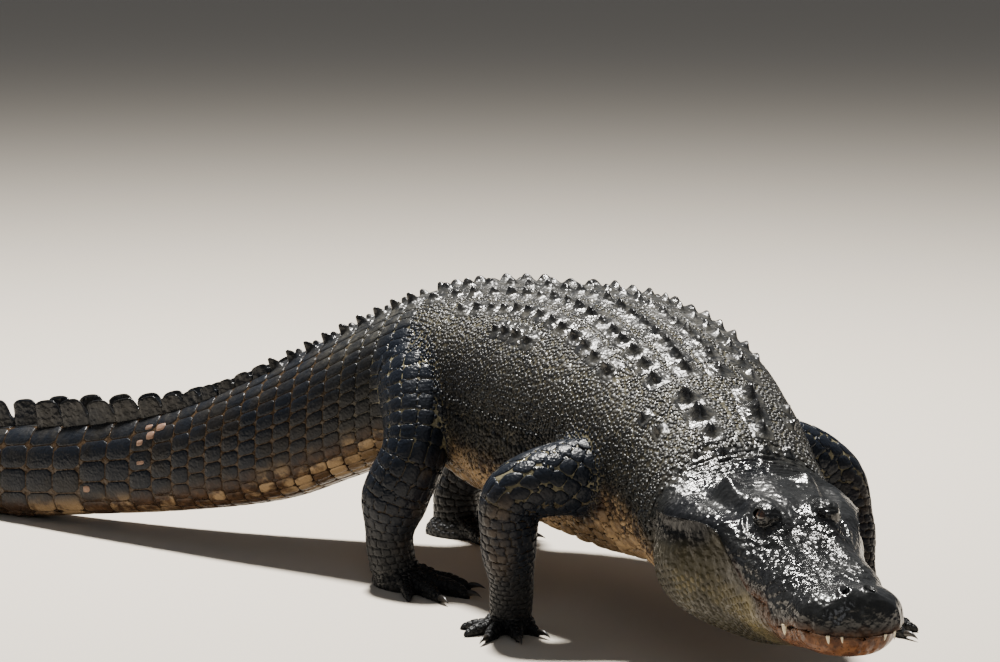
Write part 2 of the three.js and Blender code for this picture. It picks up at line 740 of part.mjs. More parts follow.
function footParts(limb, ankle) {
  const kind = limb.fore ? "fore" : "hind";
  const side = limb.joints[0][1] < limb.joints[1][1] ? 1 : -1; // 1 on the animal's left
  const toward = THREE.MathUtils.degToRad(limb.toward);
  const root = new THREE.Vector3(limb.foot[0], limb.foot[1], 0);
  const digits = DIGITS[kind].map(([angle, length, radius]) => {
    const turn = toward - side * THREE.MathUtils.degToRad(angle);
    return { turn, length, radius, rings: digitRings(root, turn, length, radius) };
  });
  const pieces = [ankle, ...digits.map((d) => loft(d.rings))];
  const heel = root.clone().setZ(SOLE_LEVEL);
  pieces.push(ball(heel, limb.fore ? FORE_SOLE : HIND_SOLE, toward, 10));
  if (!limb.fore) pieces.push(...webs(root, digits));
  return {
    foot: aboveGround(joined(pieces)),
    claws: digits.slice(0, CLAWED_DIGITS).map((d) => claw(d.rings)),
  };
}

// Skin between the hind toes: a low plate from the sole to part way along two toes
function webs(root, digits) {
  const end = (digit) => {
    const way = new THREE.Vector3(Math.cos(digit.turn), Math.sin(digit.turn), 0);
    return root.clone().addScaledVector(way, digit.length * WEB.reach);
  };
  return digits.slice(1).map((digit, i) => {
    const a = end(digits[i]);
    const b = end(digit);
    const middle = a.clone().add(b).multiplyScalar(0.5).lerp(root, WEB.arch);
    const outline = [root, a, middle, b];
    const shape = new THREE.Shape(outline.map((p) => new THREE.Vector2(p.x, p.y)));
    const plate = new THREE.ExtrudeGeometry(shape, { depth: WEB.thick, bevelEnabled: false });
    plate.translate(0, 0, WEB.level);
    return solidOf(plate);
  });
}

// Colours of wet black hide, pale mouth edge, dark amber eye and grey claw
const HIDE = { color: 0x2a2c2b, roughness: 0.42, metalness: 0 };
const JAW = { color: 0x5a5743, roughness: 0.5, metalness: 0 };
const EYE = { color: 0x3a2614, roughness: 0.12, metalness: 0 };
const CLAW = { color: 0x1c1b1a, roughness: 0.4, metalness: 0 };

const alligator = new THREE.Group();

function add(name, solid, finish) {
  const source = solid.getMesh();
  const geometry = new THREE.BufferGeometry();
  geometry.setAttribute("position", new THREE.BufferAttribute(source.vertProperties, 3));
  geometry.setIndex(new THREE.BufferAttribute(source.triVerts, 1));
  geometry.computeVertexNormals();
  const mesh = new THREE.Mesh(geometry, new THREE.MeshStandardMaterial(finish));
  mesh.name = name;
  alligator.add(mesh);
}

add("head", headNode(), HIDE);
add("lower_jaw", lowerJaw(), JAW);
for (const [side, sign] of [["right", -1], ["left", 1]]) {
  const radius = EYE_RADIUS;
  add(side + "_eye", ball(eyeCentre(sign), [radius, radius, radius]), EYE);
}
const neckLength = bodyLength([[HEAD_END, NECK_END]], BODY_SIDES);
const neckSolid = joined([neckLength, ...nuchalScutes()]);
add("neck", betweenSeams(neckSolid, HEAD_END, NECK_END), HIDE);
for (const [name, from, to] of [
  ["chest", NECK_END, CHEST_END],
  ["belly", CHEST_END, BELLY_END],
  ["hips", BELLY_END, HIPS_END],
]) {
  const length = bodyLength([[from, to]], BODY_SIDES);
  const plates = [...trunkScutes(from, to), ...tailFlaps(from, to)];
  add(name, betweenSeams(joined([length, ...plates]), from, to), HIDE);
}
for (const [name, from, to, sides] of [
  ["tail_base", HIPS_END, TAIL_BASE_END, BODY_SIDES],
  ["tail_middle", TAIL_BASE_END, TAIL_MIDDLE_END, 16],
  ["tail_end", TAIL_MIDDLE_END, TOTAL_LENGTH, 12],
]) {
  const length = bodyLength([[from, to]], sides);
  const solid = betweenSeams(joined([length, ...tailFlaps(from, to)]), from, to);
  add(name, aboveGround(solid), HIDE);
}

const trunkCut = bodyLength(
  [
    [HEAD_END, NECK_END], [NECK_END, CHEST_END], [CHEST_END, BELLY_END],
    [BELLY_END, HIPS_END], [HIPS_END, TAIL_BASE_END],
  ],
  BODY_SIDES,
  GAP,
);
for (const [name, limb] of Object.entries(LIMBS)) {
  const rings = limbRings(limb);
  const elbow = limb.elbow * RINGS_PER_JOINT;
  const wrist = limb.wrist * RINGS_PER_JOINT;
  const upper = limbPiece(rings, 0, elbow).subtract(trunkCut);
  const lower = limbPiece(rings, elbow, wrist).subtract(trunkCut);
  add(name + (limb.fore ? "_upper_arm" : "_thigh"), largest(upper), HIDE);
  add(name + (limb.fore ? "_forearm" : "_shank"), largest(lower), HIDE);
  const { foot, claws } = footParts(limb, limbPiece(rings, wrist, rings.length - 1));
  add(name + "_foot", foot, HIDE);
  claws.forEach((solid, i) => add(name + "_claw_" + (i + 1), solid, CLAW));
}

alligator.position.set(-BOX_CENTRE[0], -BOX_CENTRE[1], 0);

export default alligator;
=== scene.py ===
import math

import bpy
import numpy as np
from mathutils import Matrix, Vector
from mathutils.bvhtree import BVHTree


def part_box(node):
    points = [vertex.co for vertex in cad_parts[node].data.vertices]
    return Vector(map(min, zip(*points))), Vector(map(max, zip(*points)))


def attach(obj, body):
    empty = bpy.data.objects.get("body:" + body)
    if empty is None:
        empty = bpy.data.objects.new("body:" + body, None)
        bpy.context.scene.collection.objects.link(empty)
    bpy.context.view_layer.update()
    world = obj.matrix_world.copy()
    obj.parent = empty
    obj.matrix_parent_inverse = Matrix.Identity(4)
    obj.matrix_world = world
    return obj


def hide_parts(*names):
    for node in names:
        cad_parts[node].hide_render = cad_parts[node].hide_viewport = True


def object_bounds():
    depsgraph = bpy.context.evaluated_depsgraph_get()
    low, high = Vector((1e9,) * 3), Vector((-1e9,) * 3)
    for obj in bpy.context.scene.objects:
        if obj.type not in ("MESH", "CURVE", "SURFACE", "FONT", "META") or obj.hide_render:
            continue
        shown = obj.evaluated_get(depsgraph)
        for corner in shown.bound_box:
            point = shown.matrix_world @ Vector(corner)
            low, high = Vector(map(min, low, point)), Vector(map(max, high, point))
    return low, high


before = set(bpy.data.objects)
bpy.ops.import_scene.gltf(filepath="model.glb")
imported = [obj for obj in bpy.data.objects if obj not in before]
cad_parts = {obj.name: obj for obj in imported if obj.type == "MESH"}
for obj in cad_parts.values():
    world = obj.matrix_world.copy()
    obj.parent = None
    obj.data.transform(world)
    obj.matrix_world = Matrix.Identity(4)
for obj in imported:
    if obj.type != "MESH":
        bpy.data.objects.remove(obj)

# A life-size American alligator in its high walk, as one skin with scales, scutes and claws over the
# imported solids. Lengths are millimetres until a mesh is made. Places on the body are given by s, the
# distance along the spine back from the snout tip, and by a, the way round the section: 0 on the
# midline of the back, 1 on the midline of the belly going down the left side, -1 down the right.
# The lengths in the add-on's settings are metres, as Blender's own are.

bl_info = {
    "name": "American Alligator",
    "version": (1, 0, 0),
    "blender": (4, 5, 0),
    "location": "View3D > Sidebar > Alligator",
    "description": "Builds the skin, scales, scutes, eyes, teeth and claws of a walking alligator",
    "category": "Object",
}

CAD_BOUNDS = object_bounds()
MM = 0.001
CAD_LOW, CAD_HIGH = (np.array(corner) / MM for corner in CAD_BOUNDS)
SEED = 20

# Profiles along the spine, as in the solids
TOTAL_LENGTH = 3300
HIP_STATION = 1550
HEADING = [
    (0, -34.6), (440, -34.6), (540, -37), (640, -37), (735, -34), (1000, -26),
    (1175, -18), (1400, 8), (1550, 20), (1750, 20), (2100, 13), (2400, 9), (2900, 18),
    (3300, 34),
]
HALF_WIDTH = [
    (500, 168), (560, 165), (620, 167), (700, 180), (800, 196), (950, 236), (1175, 262),
    (1350, 246), (1500, 208), (1600, 178), (1725, 152), (1900, 122), (2100, 92),
    (2400, 62), (2700, 42), (3000, 26), (3200, 14), (3300, 5),
]
TOP = [
    (500, 350), (575, 388), (630, 408), (720, 444), (900, 502), (1175, 540),
    (1400, 535), (1550, 514), (1640, 478), (1725, 434), (1825, 380), (1925, 331),
    (2025, 286), (2125, 252), (2250, 222), (2400, 194), (2550, 172), (2700, 150),
    (3000, 98), (3200, 56), (3300, 22),
]
UNDERSIDE = [
    (500, 100), (620, 134), (735, 132), (900, 122), (1175, 132), (1400, 160),
    (1500, 190), (1600, 192), (1655, 172), (1725, 144), (1825, 104), (1925, 80),
    (2100, 50), (2300, 22), (2420, 4), (2480, -3), (3300, -3),
]
WIDEST_LEVEL = [(500, 0.42), (900, 0.42), (1500, 0.45), (1900, 0.42), (3300, 0.4)]
TOP_SQUARENESS = [(500, 2.1), (900, 2.3), (1600, 2.3), (1900, 2.5), (3300, 2.2)]
UNDERSIDE_SQUARENESS = [(500, 2.2), (900, 2.6), (1500, 2.5), (1900, 2.6), (3300, 2.4)]

BASE_AT_TIP = 195
BASE_SLOPE = 0.114
MOUTH_LINE = [
    (0, 179), (20, 183), (45, 186), (75, 186), (90, 182), (120, 175), (140, 173), (152, 181),
    (166, 198), (190, 200), (226, 201), (252, 214), (278, 234), (308, 260), (332, 280),
    (375, 286), (445, 282), (520, 278),
]
JAW_BOTTOM = [
    (0, 158), (14, 150), (30, 145), (60, 141), (120, 136), (200, 121), (280, 106), (360, 90),
    (430, 92), (480, 98), (520, 104),
]
UPPER_HALF_WIDTH = [
    (0, 14), (6, 36), (14, 51), (35, 75), (60, 86), (85, 87), (104, 85), (138, 93), (170, 95),
    (220, 98), (290, 110), (338, 121), (380, 136), (420, 150), (470, 160), (520, 160),
]
LOWER_INSET = [(0, 16), (30, 14), (70, 10), (300, 9), (380, 3), (420, 0), (520, 0)]
JOWL_BULGE = [(240, 0), (320, 12), (380, 26), (440, 32), (480, 28), (520, 10)]
UPPER_HEIGHT = [
    (0, 16), (6, 30), (16, 41), (35, 46), (70, 43), (110, 42), (165, 46), (220, 55),
    (255, 64), (290, 72), (340, 78), (440, 80), (520, 94),
]
UPPER_SQUARENESS = [(0, 2.4), (60, 2.8), (200, 2.6), (290, 2.2), (380, 1.8), (470, 1.9), (520, 2.1)]
TABLE_HALF_WIDTH = [(270, 52), (320, 58), (430, 80), (520, 84)]
TABLE_RAISE = [(270, 0), (330, 12), (430, 13), (466, 3), (500, 0), (520, 0)]
TABLE_EDGE = 28
KNOB = (424, 68, 24, 18, 13)
# Small swellings and hollows of the head: station, offset, length, width and height
HEAD_RELIEF = [
    (222, 46, 42, 9, 5), (148, 62, 26, 20, 4), (190, 20, 60, 12, -4), (236, 14, 12, 8, 3),
    (262, 22, 12, 10, -5), (384, 30, 26, 16, -4), (404, 8, 34, 12, 3), (330, 24, 22, 14, -3),
    (96, 30, 16, 26, -3), KNOB,
]
EYE_STATION = 288
EYE_OFFSET = 51
EYE_HEIGHT = 81
EYE_RADIUS = 17
LID_RADII = [25, 21, 20.5]
LOWER_LID_RADII = [19, 6.5, 11]
EYE_OPENING_RADII = [14, 8.5, 16]
SOCKET_CLEARANCE = 0.3
BROW_OFFSET = 44
BROW_HEIGHT = 29
NOSTRIL_STATION = 33
NOSTRIL_OFFSET = 19
NOSTRIL_RADII = [10, 5.2, 13]
NOSTRIL_SLANT = 40
EAR_STATION = 385
EAR_OFFSET = 77
EAR_HEIGHT = 88
EAR_RADII = [26, 7, 3.2]

# Swellings and hollows of the body: station, share of the way round, length, width and height
BODY_RELIEF = [
    (790, 0.48, 60, 0.12, 12), (730, 0.6, 24, 0.2, -7), (1560, 0.38, 80, 0.2, 8),
    (428, 0.693, 30, 0.016, -5), (424, 0.735, 34, 0.028, 4), (420, 0.635, 38, 0.03, 3.5),
    (400, 0.78, 30, 0.025, -3), (532, 0.62, 13, 0.22, -6),
]
# Wrinkles of the nape, neck, flank and throat: depth, wavelength, wander, sharpness, then where they
# start, the length they fade in over, where they end and the length they fade out over, first along the
# spine and then round the section
WRINKLES = [
    (2.8, 9.5, 6, 0.8, (450, 16, 560, 30), (-1, 1, 0.8, 0.2)),
    (5.0, 31, 9, 0.5, (545, 40, 775, 60), (0.1, 0.3, 0.95, 0.2)),
    (4.6, 38, 14, 0.5, (760, 60, 1580, 120), (0.36, 0.15, 0.85, 0.15)),
    (1.6, 22, 8, 0.5, (300, 60, 560, 40), (0.72, 0.08, 2, 1)),
]

# Limbs: joint x, y, z, half width and half depth, before the model is centred on its box
LIMBS = {
    "right_fore": {
        "joints": [
            (655, -180, 290, 74, 80), (580, -290, 280, 68, 68), (500, -378, 248, 54, 62),
            (484, -376, 165, 48, 54), (472, -354, 88, 38, 44), (462, -344, 22, 36, 40),
        ],
        "foot": (452, -332), "toward": -72, "fore": True, "side": -1,
    },
    "left_fore": {
        "joints": [
            (725, -50, 296, 76, 84), (766, 34, 288, 68, 72), (806, 104, 250, 56, 62),
            (838, 111, 165, 48, 54), (866, 96, 88, 37, 43), (884, 90, 22, 36, 40),
        ],
        "foot": (894, 86), "toward": -14, "fore": True, "side": 1,
    },
    "right_hind": {
        "joints": [
            (-10, -30, 395, 84, 96), (70, -130, 372, 76, 86), (120, -205, 250, 58, 64),
            (88, -222, 165, 60, 64), (74, -222, 92, 40, 50), (80, -216, 26, 40, 48),
        ],
        "foot": (100, -212), "toward": -10, "fore": False, "side": -1,
    },
    "left_hind": {
        "joints": [
            (-10, 40, 395, 84, 96), (-52, 140, 372, 76, 86), (-40, 222, 248, 58, 64),
            (-86, 218, 162, 56, 60), (-130, 205, 92, 40, 48), (-130, 200, 26, 40, 48),
        ],
        "foot": (-120, 196), "toward": 10, "fore": False, "side": 1,
    },
}
# Digits of a fore and a hind foot: angle from the foot's own way, length and radius
DIGITS = {
    True: [(62, 78, 12), (30, 104, 13), (0, 112, 13), (-30, 102, 11), (-64, 88, 10)],
    False: [(34, 128, 16), (11, 156, 16), (-12, 150, 14), (-34, 128, 12)],
}
DIGIT_RADIUS = 13  # radius of the toe that the heights of toes and claws are given for
CLAWED_DIGITS = 3
CLAW_LENGTH = 27

# Scutes of the back and crests of the tail
ROW_PITCH = 47
FIRST_ROW = 766
ROW_COUNT = 17
COLUMN_PITCH = 57
COLUMNS_EACH_SIDE = [
    (748, 2), (800, 2.4), (900, 3), (1060, 3.4), (1100, 3.8), (1250, 3.8), (1290, 3.4),
    (1420, 3), (1500, 2), (1620, 2),
]
# Paired plates of the nape: station, distance from the midline, length, width, keel height
NUCHAL_PLATES = [
    (540, 34, 24, 26, 9), (548, 78, 22, 24, 8), (582, 42, 44, 44, 17), (634, 46, 54, 60, 24),
    (686, 52, 52, 58, 22), (646, 118, 34, 34, 14), (700, 132, 32, 34, 12),
]
WHORL_PITCH = [
    (1560, 34), (1750, 36), (1900, 37), (2010, 37), (2060, 50), (2120, 54), (2180, 63), (2300, 71),
    (2440, 70), (2520, 62), (2700, 60), (3000, 46), (3250, 30),
]
FIRST_WHORL = 1567
LAST_WHORL = 3260
CREST_HEIGHT = [
    (1640, 17), (1900, 22), (2050, 30), (2180, 44), (2420, 58), (2700, 52), (3000, 36), (3300, 12),
]
CREST_SPREAD = [(1560, 78), (1640, 68), (1900, 54), (2150, 40), (2330, 24), (2440, 9)]
FLAP_START = 1860
SINGLE_CREST_START = 2430
TEETH = [(4, 6, 2.0), (11, 9.5, 3.0), (112, 13, 4.2)]  # station, length, radius


def curve(pairs):
    """Monotone cubic through [x, y] pairs: harmonic-mean slopes at the knots, so it never overshoots."""
    x = np.array([p[0] for p in pairs], float)
    y = np.array([p[1] for p in pairs], float)
    slope = np.diff(y) / np.diff(x)
    total = slope[:-1] + slope[1:]
    product = slope[:-1] * slope[1:]
    tangent = np.zeros_like(y)
    tangent[1:-1] = np.where(product > 0, 2 * product / np.where(product > 0, total, 1), 0)
    tangent[0] = slope[0]
    tangent[-1] = slope[-1]

    def value(at):
        s = np.clip(at, x[0], x[-1])
        i = np.clip(np.searchsorted(x, s, side="left") - 1, 0, len(x) - 2)
        width = x[i + 1] - x[i]
        t = (s - x[i]) / width
        rise = t * t * (3 - 2 * t)
        bend = width * t * (1 - t) * ((1 - t) * tangent[i] - t * tangent[i + 1])
        return y[i] * (1 - rise) + y[i + 1] * rise + bend

    return value


heading = curve(HEADING)
half_width = curve(HALF_WIDTH)
top = curve(TOP)
underside = curve(UNDERSIDE)
widest_level = curve(WIDEST_LEVEL)
top_squareness = curve(TOP_SQUARENESS)
underside_squareness = curve(UNDERSIDE_SQUARENESS)
mouth_line = curve(MOUTH_LINE)
jaw_bottom = curve(JAW_BOTTOM)
upper_half_width = curve(UPPER_HALF_WIDTH)
lower_inset = curve(LOWER_INSET)
jowl_bulge = curve(JOWL_BULGE)
upper_height = curve(UPPER_HEIGHT)
upper_squareness = curve(UPPER_SQUARENESS)
table_half_width = curve(TABLE_HALF_WIDTH)
table_raise = curve(TABLE_RAISE)
columns_each_side = curve(COLUMNS_EACH_SIDE)
whorl_pitch = curve(WHORL_PITCH)
crest_height = curve(CREST_HEIGHT)
crest_spread = curve(CREST_SPREAD)


def smooth(t):
    """Clipped cubic 3 c^2 - 2 c^3, which rises from 0 to 1"""
    c = np.clip(t, 0, 1)
    return c * c * (3 - 2 * c)


def power(value, exponent):
    """The power of a number's size, with its own sign"""
    return np.sign(value) * np.abs(value) ** exponent


def bump(s, v, s0, v0, ds, dv):
    """exp(-((s - s0) / ds)^2 - ((v - v0) / dv)^2), a soft swelling round one place"""
    return np.exp(-(((s - s0) / ds) ** 2) - ((v - v0) / dv) ** 2)


def swellings(s, v, table):
    """Sum of height x bump over rows of (station, place, length, width, height)"""
    return sum(height * bump(s, v, s0, v0, ds, dv) for s0, v0, ds, dv, height in table)


def window(x, start, rise, end, fall):
    """Rises from 0 to 1 over a length after the start, and falls back over a length before the end"""
    return smooth((x - start) / rise) * smooth((end - x) / fall)


def ridge(x, centre, width):
    """exp(-((x - centre) / width)^2), a soft ridge across one line"""
    return np.exp(-(((x - centre) / width) ** 2))


# The spine in plan, summed from its heading in short steps
STEP = 5
_mid = np.arange(0, TOTAL_LENGTH, STEP) + STEP / 2
_turn = np.radians(heading(_mid))
SPINE = np.zeros((len(_mid) + 1, 2))
SPINE[1:, 0] = np.cumsum(-STEP * np.cos(_turn))
SPINE[1:, 1] = np.cumsum(-STEP * np.sin(_turn))
SPINE -= SPINE[HIP_STATION // STEP]


def unshifted(s, left, z):
    """Point from its station, offset to the left and height, before the model is centred"""
    s, left, z = np.broadcast_arrays(np.asarray(s, float), left, z)
    i = np.clip((s // STEP).astype(int), 0, len(SPINE) - 2)
    share = s / STEP - i
    turn = np.radians(heading(s))
    x = SPINE[i, 0] + (SPINE[i + 1, 0] - SPINE[i, 0]) * share
    y = SPINE[i, 1] + (SPINE[i + 1, 1] - SPINE[i, 1]) * share
    return np.stack([x - left * np.sin(turn), y + left * np.cos(turn), z], -1)


def base_line(s):
    """Height of the sloping straight line that the head's heights are measured from"""
    return BASE_AT_TIP + BASE_SLOPE * np.asarray(s, float)


def middle_level(s):
    """Height at which the trunk and tail are widest"""
    return underside(s) + (top(s) - underside(s)) * widest_level(s)


# The solids are centred on their box: the right eye's solid says by how much
_low, _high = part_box("right_eye")
_eye = (np.array(_low) + np.array(_high)) / 2 / MM
_raw = unshifted(EYE_STATION, -EYE_OFFSET, base_line(EYE_STATION) + EYE_HEIGHT)
SHIFT = np.array([_eye[0] - _raw[0], _eye[1] - _raw[1], 0.0])


def place(s, left, z):
    """Point of the model from its station, its offset to the left and its height"""
    return unshifted(s, left, z) + SHIFT


# Meshes


def make_mesh(name, vertices, polygons):
    """Object from vertices in millimetres and a list of polygon index arrays, each (count, sides)"""
    mesh = bpy.data.meshes.new(name)
    corners = np.concatenate([np.asarray(p).ravel() for p in polygons]).astype(np.int32)
    sides = np.concatenate([np.full(len(p), np.asarray(p).shape[1]) for p in polygons])
    starts = np.concatenate([[0], np.cumsum(sides)[:-1]]).astype(np.int32)
    mesh.vertices.add(len(vertices))
    mesh.vertices.foreach_set("co", (np.asarray(vertices, float) * MM).astype(np.float32).ravel())
    mesh.loops.add(len(corners))
    mesh.loops.foreach_set("vertex_index", corners)
    mesh.polygons.add(len(sides))
    mesh.polygons.foreach_set("loop_start", starts)
    mesh.update(calc_edges=True)
    mesh.validate()
    mesh.polygons.foreach_set("use_smooth", np.full(len(mesh.polygons), True))
    obj = bpy.data.objects.new(name, mesh)
    bpy.context.scene.collection.objects.link(obj)
    return obj


def tube_polygons(rings, sides, closed_ends=True):
    """Quads round a grid of rings, with a flat polygon on each end"""
    r = np.arange(rings - 1)[:, None] * sides
    k = np.arange(sides)[None, :]
    n = (k + 1) % sides
    quads = np.stack([r + k, r + n, r + sides + n, r + sides + k], -1).reshape(-1, 4)
    polygons = [quads]
    if closed_ends:
        polygons.append(np.arange(sides)[::-1][None, :])
        polygons.append(((rings - 1) * sides + np.arange(sides))[None, :])
    return polygons


def tube(name, grid):
    """Closed tube through a (rings, sides, 3) grid, with faces out"""
    rings, sides, _ = grid.shape
    obj = make_mesh(name, grid.reshape(-1, 3), tube_polygons(rings, sides))
    if volume_of(obj) < 0:
        obj.data.flip_normals()
    return obj


def vertices_of(obj):
    """The mesh's vertices, in millimetres"""
    co = np.empty(len(obj.data.vertices) * 3, np.float32)
    obj.data.vertices.foreach_get("co", co)
    return co.reshape(-1, 3).astype(float) / MM


def set_vertices(obj, points):
    """Moves the vertices to points in millimetres"""
    obj.data.vertices.foreach_set("co", (points * MM).astype(np.float32).ravel())
    obj.data.update()


def keep_inside(obj):
    """Moves the few points that pass the box of the solids back to it"""
    set_vertices(obj, np.clip(vertices_of(obj), CAD_LOW, CAD_HIGH))


def volume_of(obj):
    """Sixth of the sum of a . (b x c) over triangles a, b, c, which is negative if faces point in"""
    obj.data.calc_loop_triangles()
    tri = np.empty(len(obj.data.loop_triangles) * 3, np.int32)
    obj.data.loop_triangles.foreach_get("vertices", tri)
    p = vertices_of(obj)[tri].reshape(-1, 3, 3)
    return float(np.einsum("ij,ij->i", p[:, 0], np.cross(p[:, 1], p[:, 2])).sum() / 6)


def apply_modifiers(obj):
    """Replaces the mesh by the one that its modifiers give"""
    graph = bpy.context.evaluated_depsgraph_get()
    mesh = bpy.data.meshes.new_from_object(obj.evaluated_get(graph))
    old = obj.data
    obj.modifiers.clear()
    obj.data = mesh
    bpy.data.meshes.remove(old)


def remove(objects):
    """Deletes objects and their meshes"""
    for obj in objects:
        mesh = obj.data
        bpy.data.objects.remove(obj)
        bpy.data.meshes.remove(mesh)


def combine(target, others, operation):
    """Boolean of one object with several, applied"""
    group = bpy.data.collections.new("operands")
    for obj in others:
        group.objects.link(obj)
    modifier = target.modifiers.new("combine", "BOOLEAN")
    modifier.operation = operation
    modifier.operand_type = "COLLECTION"
    modifier.collection = group
    modifier.solver = "MANIFOLD"
    apply_modifiers(target)
    bpy.data.collections.remove(group)
    remove(others)


def remesh(obj, voxel):
    """Makes one closed surface of overlapping ones, on a grid of voxels"""
    modifier = obj.modifiers.new("remesh", "REMESH")
    modifier.mode = "VOXEL"
    modifier.voxel_size = voxel * MM
    modifier.use_smooth_shade = True
    apply_modifiers(obj)


def relax(obj, weights, rounds):
    """Moves each vertex towards the mean of its neighbours, by its weight, for some rounds"""
    edges = np.empty(len(obj.data.edges) * 2, np.int32)
    obj.data.edges.foreach_get("vertices", edges)
    a, b = edges[0::2], edges[1::2]
    points = vertices_of(obj)
    count = np.maximum(np.bincount(edges, minlength=len(points)), 1)
    for _ in range(rounds):
        total = np.zeros_like(points)
        for axis in range(3):
            total[:, axis] = np.bincount(a, points[b, axis], len(points))
            total[:, axis] += np.bincount(b, points[a, axis], len(points))
        points += weights[:, None] * (total / count[:, None] - points)
    set_vertices(obj, points)


def ellipsoid(name, centre, axes, radii, rings=24, sides=32):
    """Closed ellipsoid with its own axes, given as three unit rows"""
    lat = np.linspace(-np.pi / 2, np.pi / 2, rings)[:, None]
    lon = np.linspace(0, 2 * np.pi, sides, endpoint=False)[None, :]
    unit = np.stack(
        [np.cos(lat) * np.cos(lon), np.cos(lat) * np.sin(lon), np.sin(lat) + 0 * lon], -1
    )[1:-1]
    body = np.asarray(centre) + (unit * np.asarray(radii)) @ np.asarray(axes)
    ends = np.array([[0, 0, -1], [0, 0, 1]]) * np.asarray(radii)
    poles = np.asarray(centre) + ends @ np.asarray(axes)
    inner = rings - 2
    count = inner * sides
    k = np.arange(sides)
    n = (k + 1) % sides
    polygons = [
        tube_polygons(inner, sides, closed_ends=False)[0],
        np.stack([np.full(sides, count), n, k], -1),
        np.stack([np.full(sides, count + 1), (inner - 1) * sides + k, (inner - 1) * sides + n], -1),
    ]
    obj = make_mesh(name, np.concatenate([body.reshape(-1, 3), poles]), polygons)
    if volume_of(obj) < 0:
        obj.data.flip_normals()
    return obj


# Surface of the head, trunk and tail as a grid of stations by places round the section

RING_HALF = 80  # points from the midline of the belly to the midline of the back
JAW_POINTS = 26
CREASE_DEPTHS = [2.0, 8.0, 8.0, 2.5]  # how far in the mouth's crease lies, from its lower edge up
CREASE_LEVELS = [-0.9, -0.3, 0.3, 1.2]  # and its heights above the mouth line
SIDE_ROUNDNESS = 0.86
MORPH_START = 486
MORPH_LENGTH = 90
TIP_LENGTH = 32
RING_SPANS = [  # first station, last station, step
    (34, 250, 3.8), (250, 330, 2.6), (330, 442, 3.8), (442, 560, 2.4), (560, 760, 6),
    (760, 1660, 12), (1660, 3290, 24),
]
LAST_RING = 3298


def tip_round(s, length=TIP_LENGTH, start=0):
    """Quarter ellipse sqrt(1 - (1 - t)^2) that rounds the snout"""
    t = np.clip((s - start) / length, 0, 1)
    return np.sqrt(1 - (1 - t) ** 2)


def snout_half(s):
    """Half width of the upper jaw, rounded at the tip"""
    return np.where(s < TIP_LENGTH, upper_half_width(TIP_LENGTH) * tip_round(s), upper_half_width(s))


def head_top(s, v):
    """Height of the top of the head: lip + dome + skull table + brows + nostril disc + small relief"""
    off = np.abs(v)
    share = np.minimum(off / np.maximum(snout_half(s), 1), 1)
    p = upper_squareness(s)
    lip = mouth_line(s)
    front = tip_round(s, 26)
    peak = base_line(s) + np.where(s < 35, 46 * front, upper_height(s)) - lip
    dome = np.maximum(peak, 1) * (1 - share**p) ** (1 / p)
    table = table_raise(s) * smooth((table_half_width(s) + TABLE_EDGE / 2 - off) / TABLE_EDGE)
    table = table * (1 + 0.25 * smooth((s - 300) / 60))
    brow = (BROW_HEIGHT - 1) * bump(s, off, EYE_STATION, BROW_OFFSET, 34, 18)
    nostril = 5 * np.exp(-(((s - NOSTRIL_STATION) / 24) ** 2) - (v / 34) ** 4)
    gap = np.hypot((s - NOSTRIL_STATION) / 1.15, (off - NOSTRIL_OFFSET) / 0.85)
    rim = 4.5 * ridge(gap, 11, 4.5) * (0.25 + 0.75 * smooth((s - 26) / 14))
    ear_ridge = 3.5 * ridge(off - 0.19 * (s - 320), 58, 8) * window(s, 312, 20, 415, 30)
    trough = -5 * ridge(off - table_half_width(s), 21, 14) * window(s, 318, 30, 460, 30)
    cheek = 5 * ridge(share, 0.84, 0.13) * window(s, 345, 45, 505, 45)
    lid_gap = np.hypot((s - EYE_STATION - 4) / 38, (off - EYE_OFFSET - 1) / 25)
    lid_folds = 2.6 * ridge(lid_gap, 1.3, 0.13) - 3 * ridge(lid_gap, 1.05, 0.1)
    relief = nostril + rim + ear_ridge + trough + cheek + lid_folds + swellings(s, off, HEAD_RELIEF)
    edge = smooth((1 - share) * 4)
    return lip + dome + (table + brow + relief) * edge * front


def head_half_ring(s):
    """Offsets and heights from the chin's midline up to the top's midline, folding in at the mouth"""
    s = np.asarray(s, float)[:, None]
    lip = mouth_line(s)
    upper = snout_half(s)
    chin = tip_round(s, 30, 7)
    lower = (upper - lower_inset(s)) * chin
    angle = np.linspace(np.pi / 2, 0, JAW_POINTS)[None, :]
    bulge = jowl_bulge(s) * np.sin(2 * angle)
    jaw_v = (lower + bulge) * power(np.cos(angle), SIDE_ROUNDNESS)
    jaw_z = lip - 1.2 - (lip - jaw_bottom(s)) * chin * np.sin(angle) ** 0.78
    fold = np.array(CREASE_DEPTHS)[None, :] * smooth((350 - s) / 120) * np.minimum(chin, 1)
    base = np.concatenate([lower, lower, lower, upper], 1)
    crease_v = np.maximum(base - fold, 0)
    crease_z = lip + np.array(CREASE_LEVELS)[None, :]
    turn = np.linspace(0, np.pi / 2, RING_HALF - JAW_POINTS - len(CREASE_DEPTHS))[None, :]
    top_v = upper * power(np.cos(turn), SIDE_ROUNDNESS)
    top_z = head_top(s + 0 * turn, top_v)
    top_z[:, 0] = (lip + 1.6)[:, 0]
    offsets = np.concatenate([jaw_v, crease_v, top_v], 1)
    return offsets, np.concatenate([jaw_z, crease_z, top_z], 1)


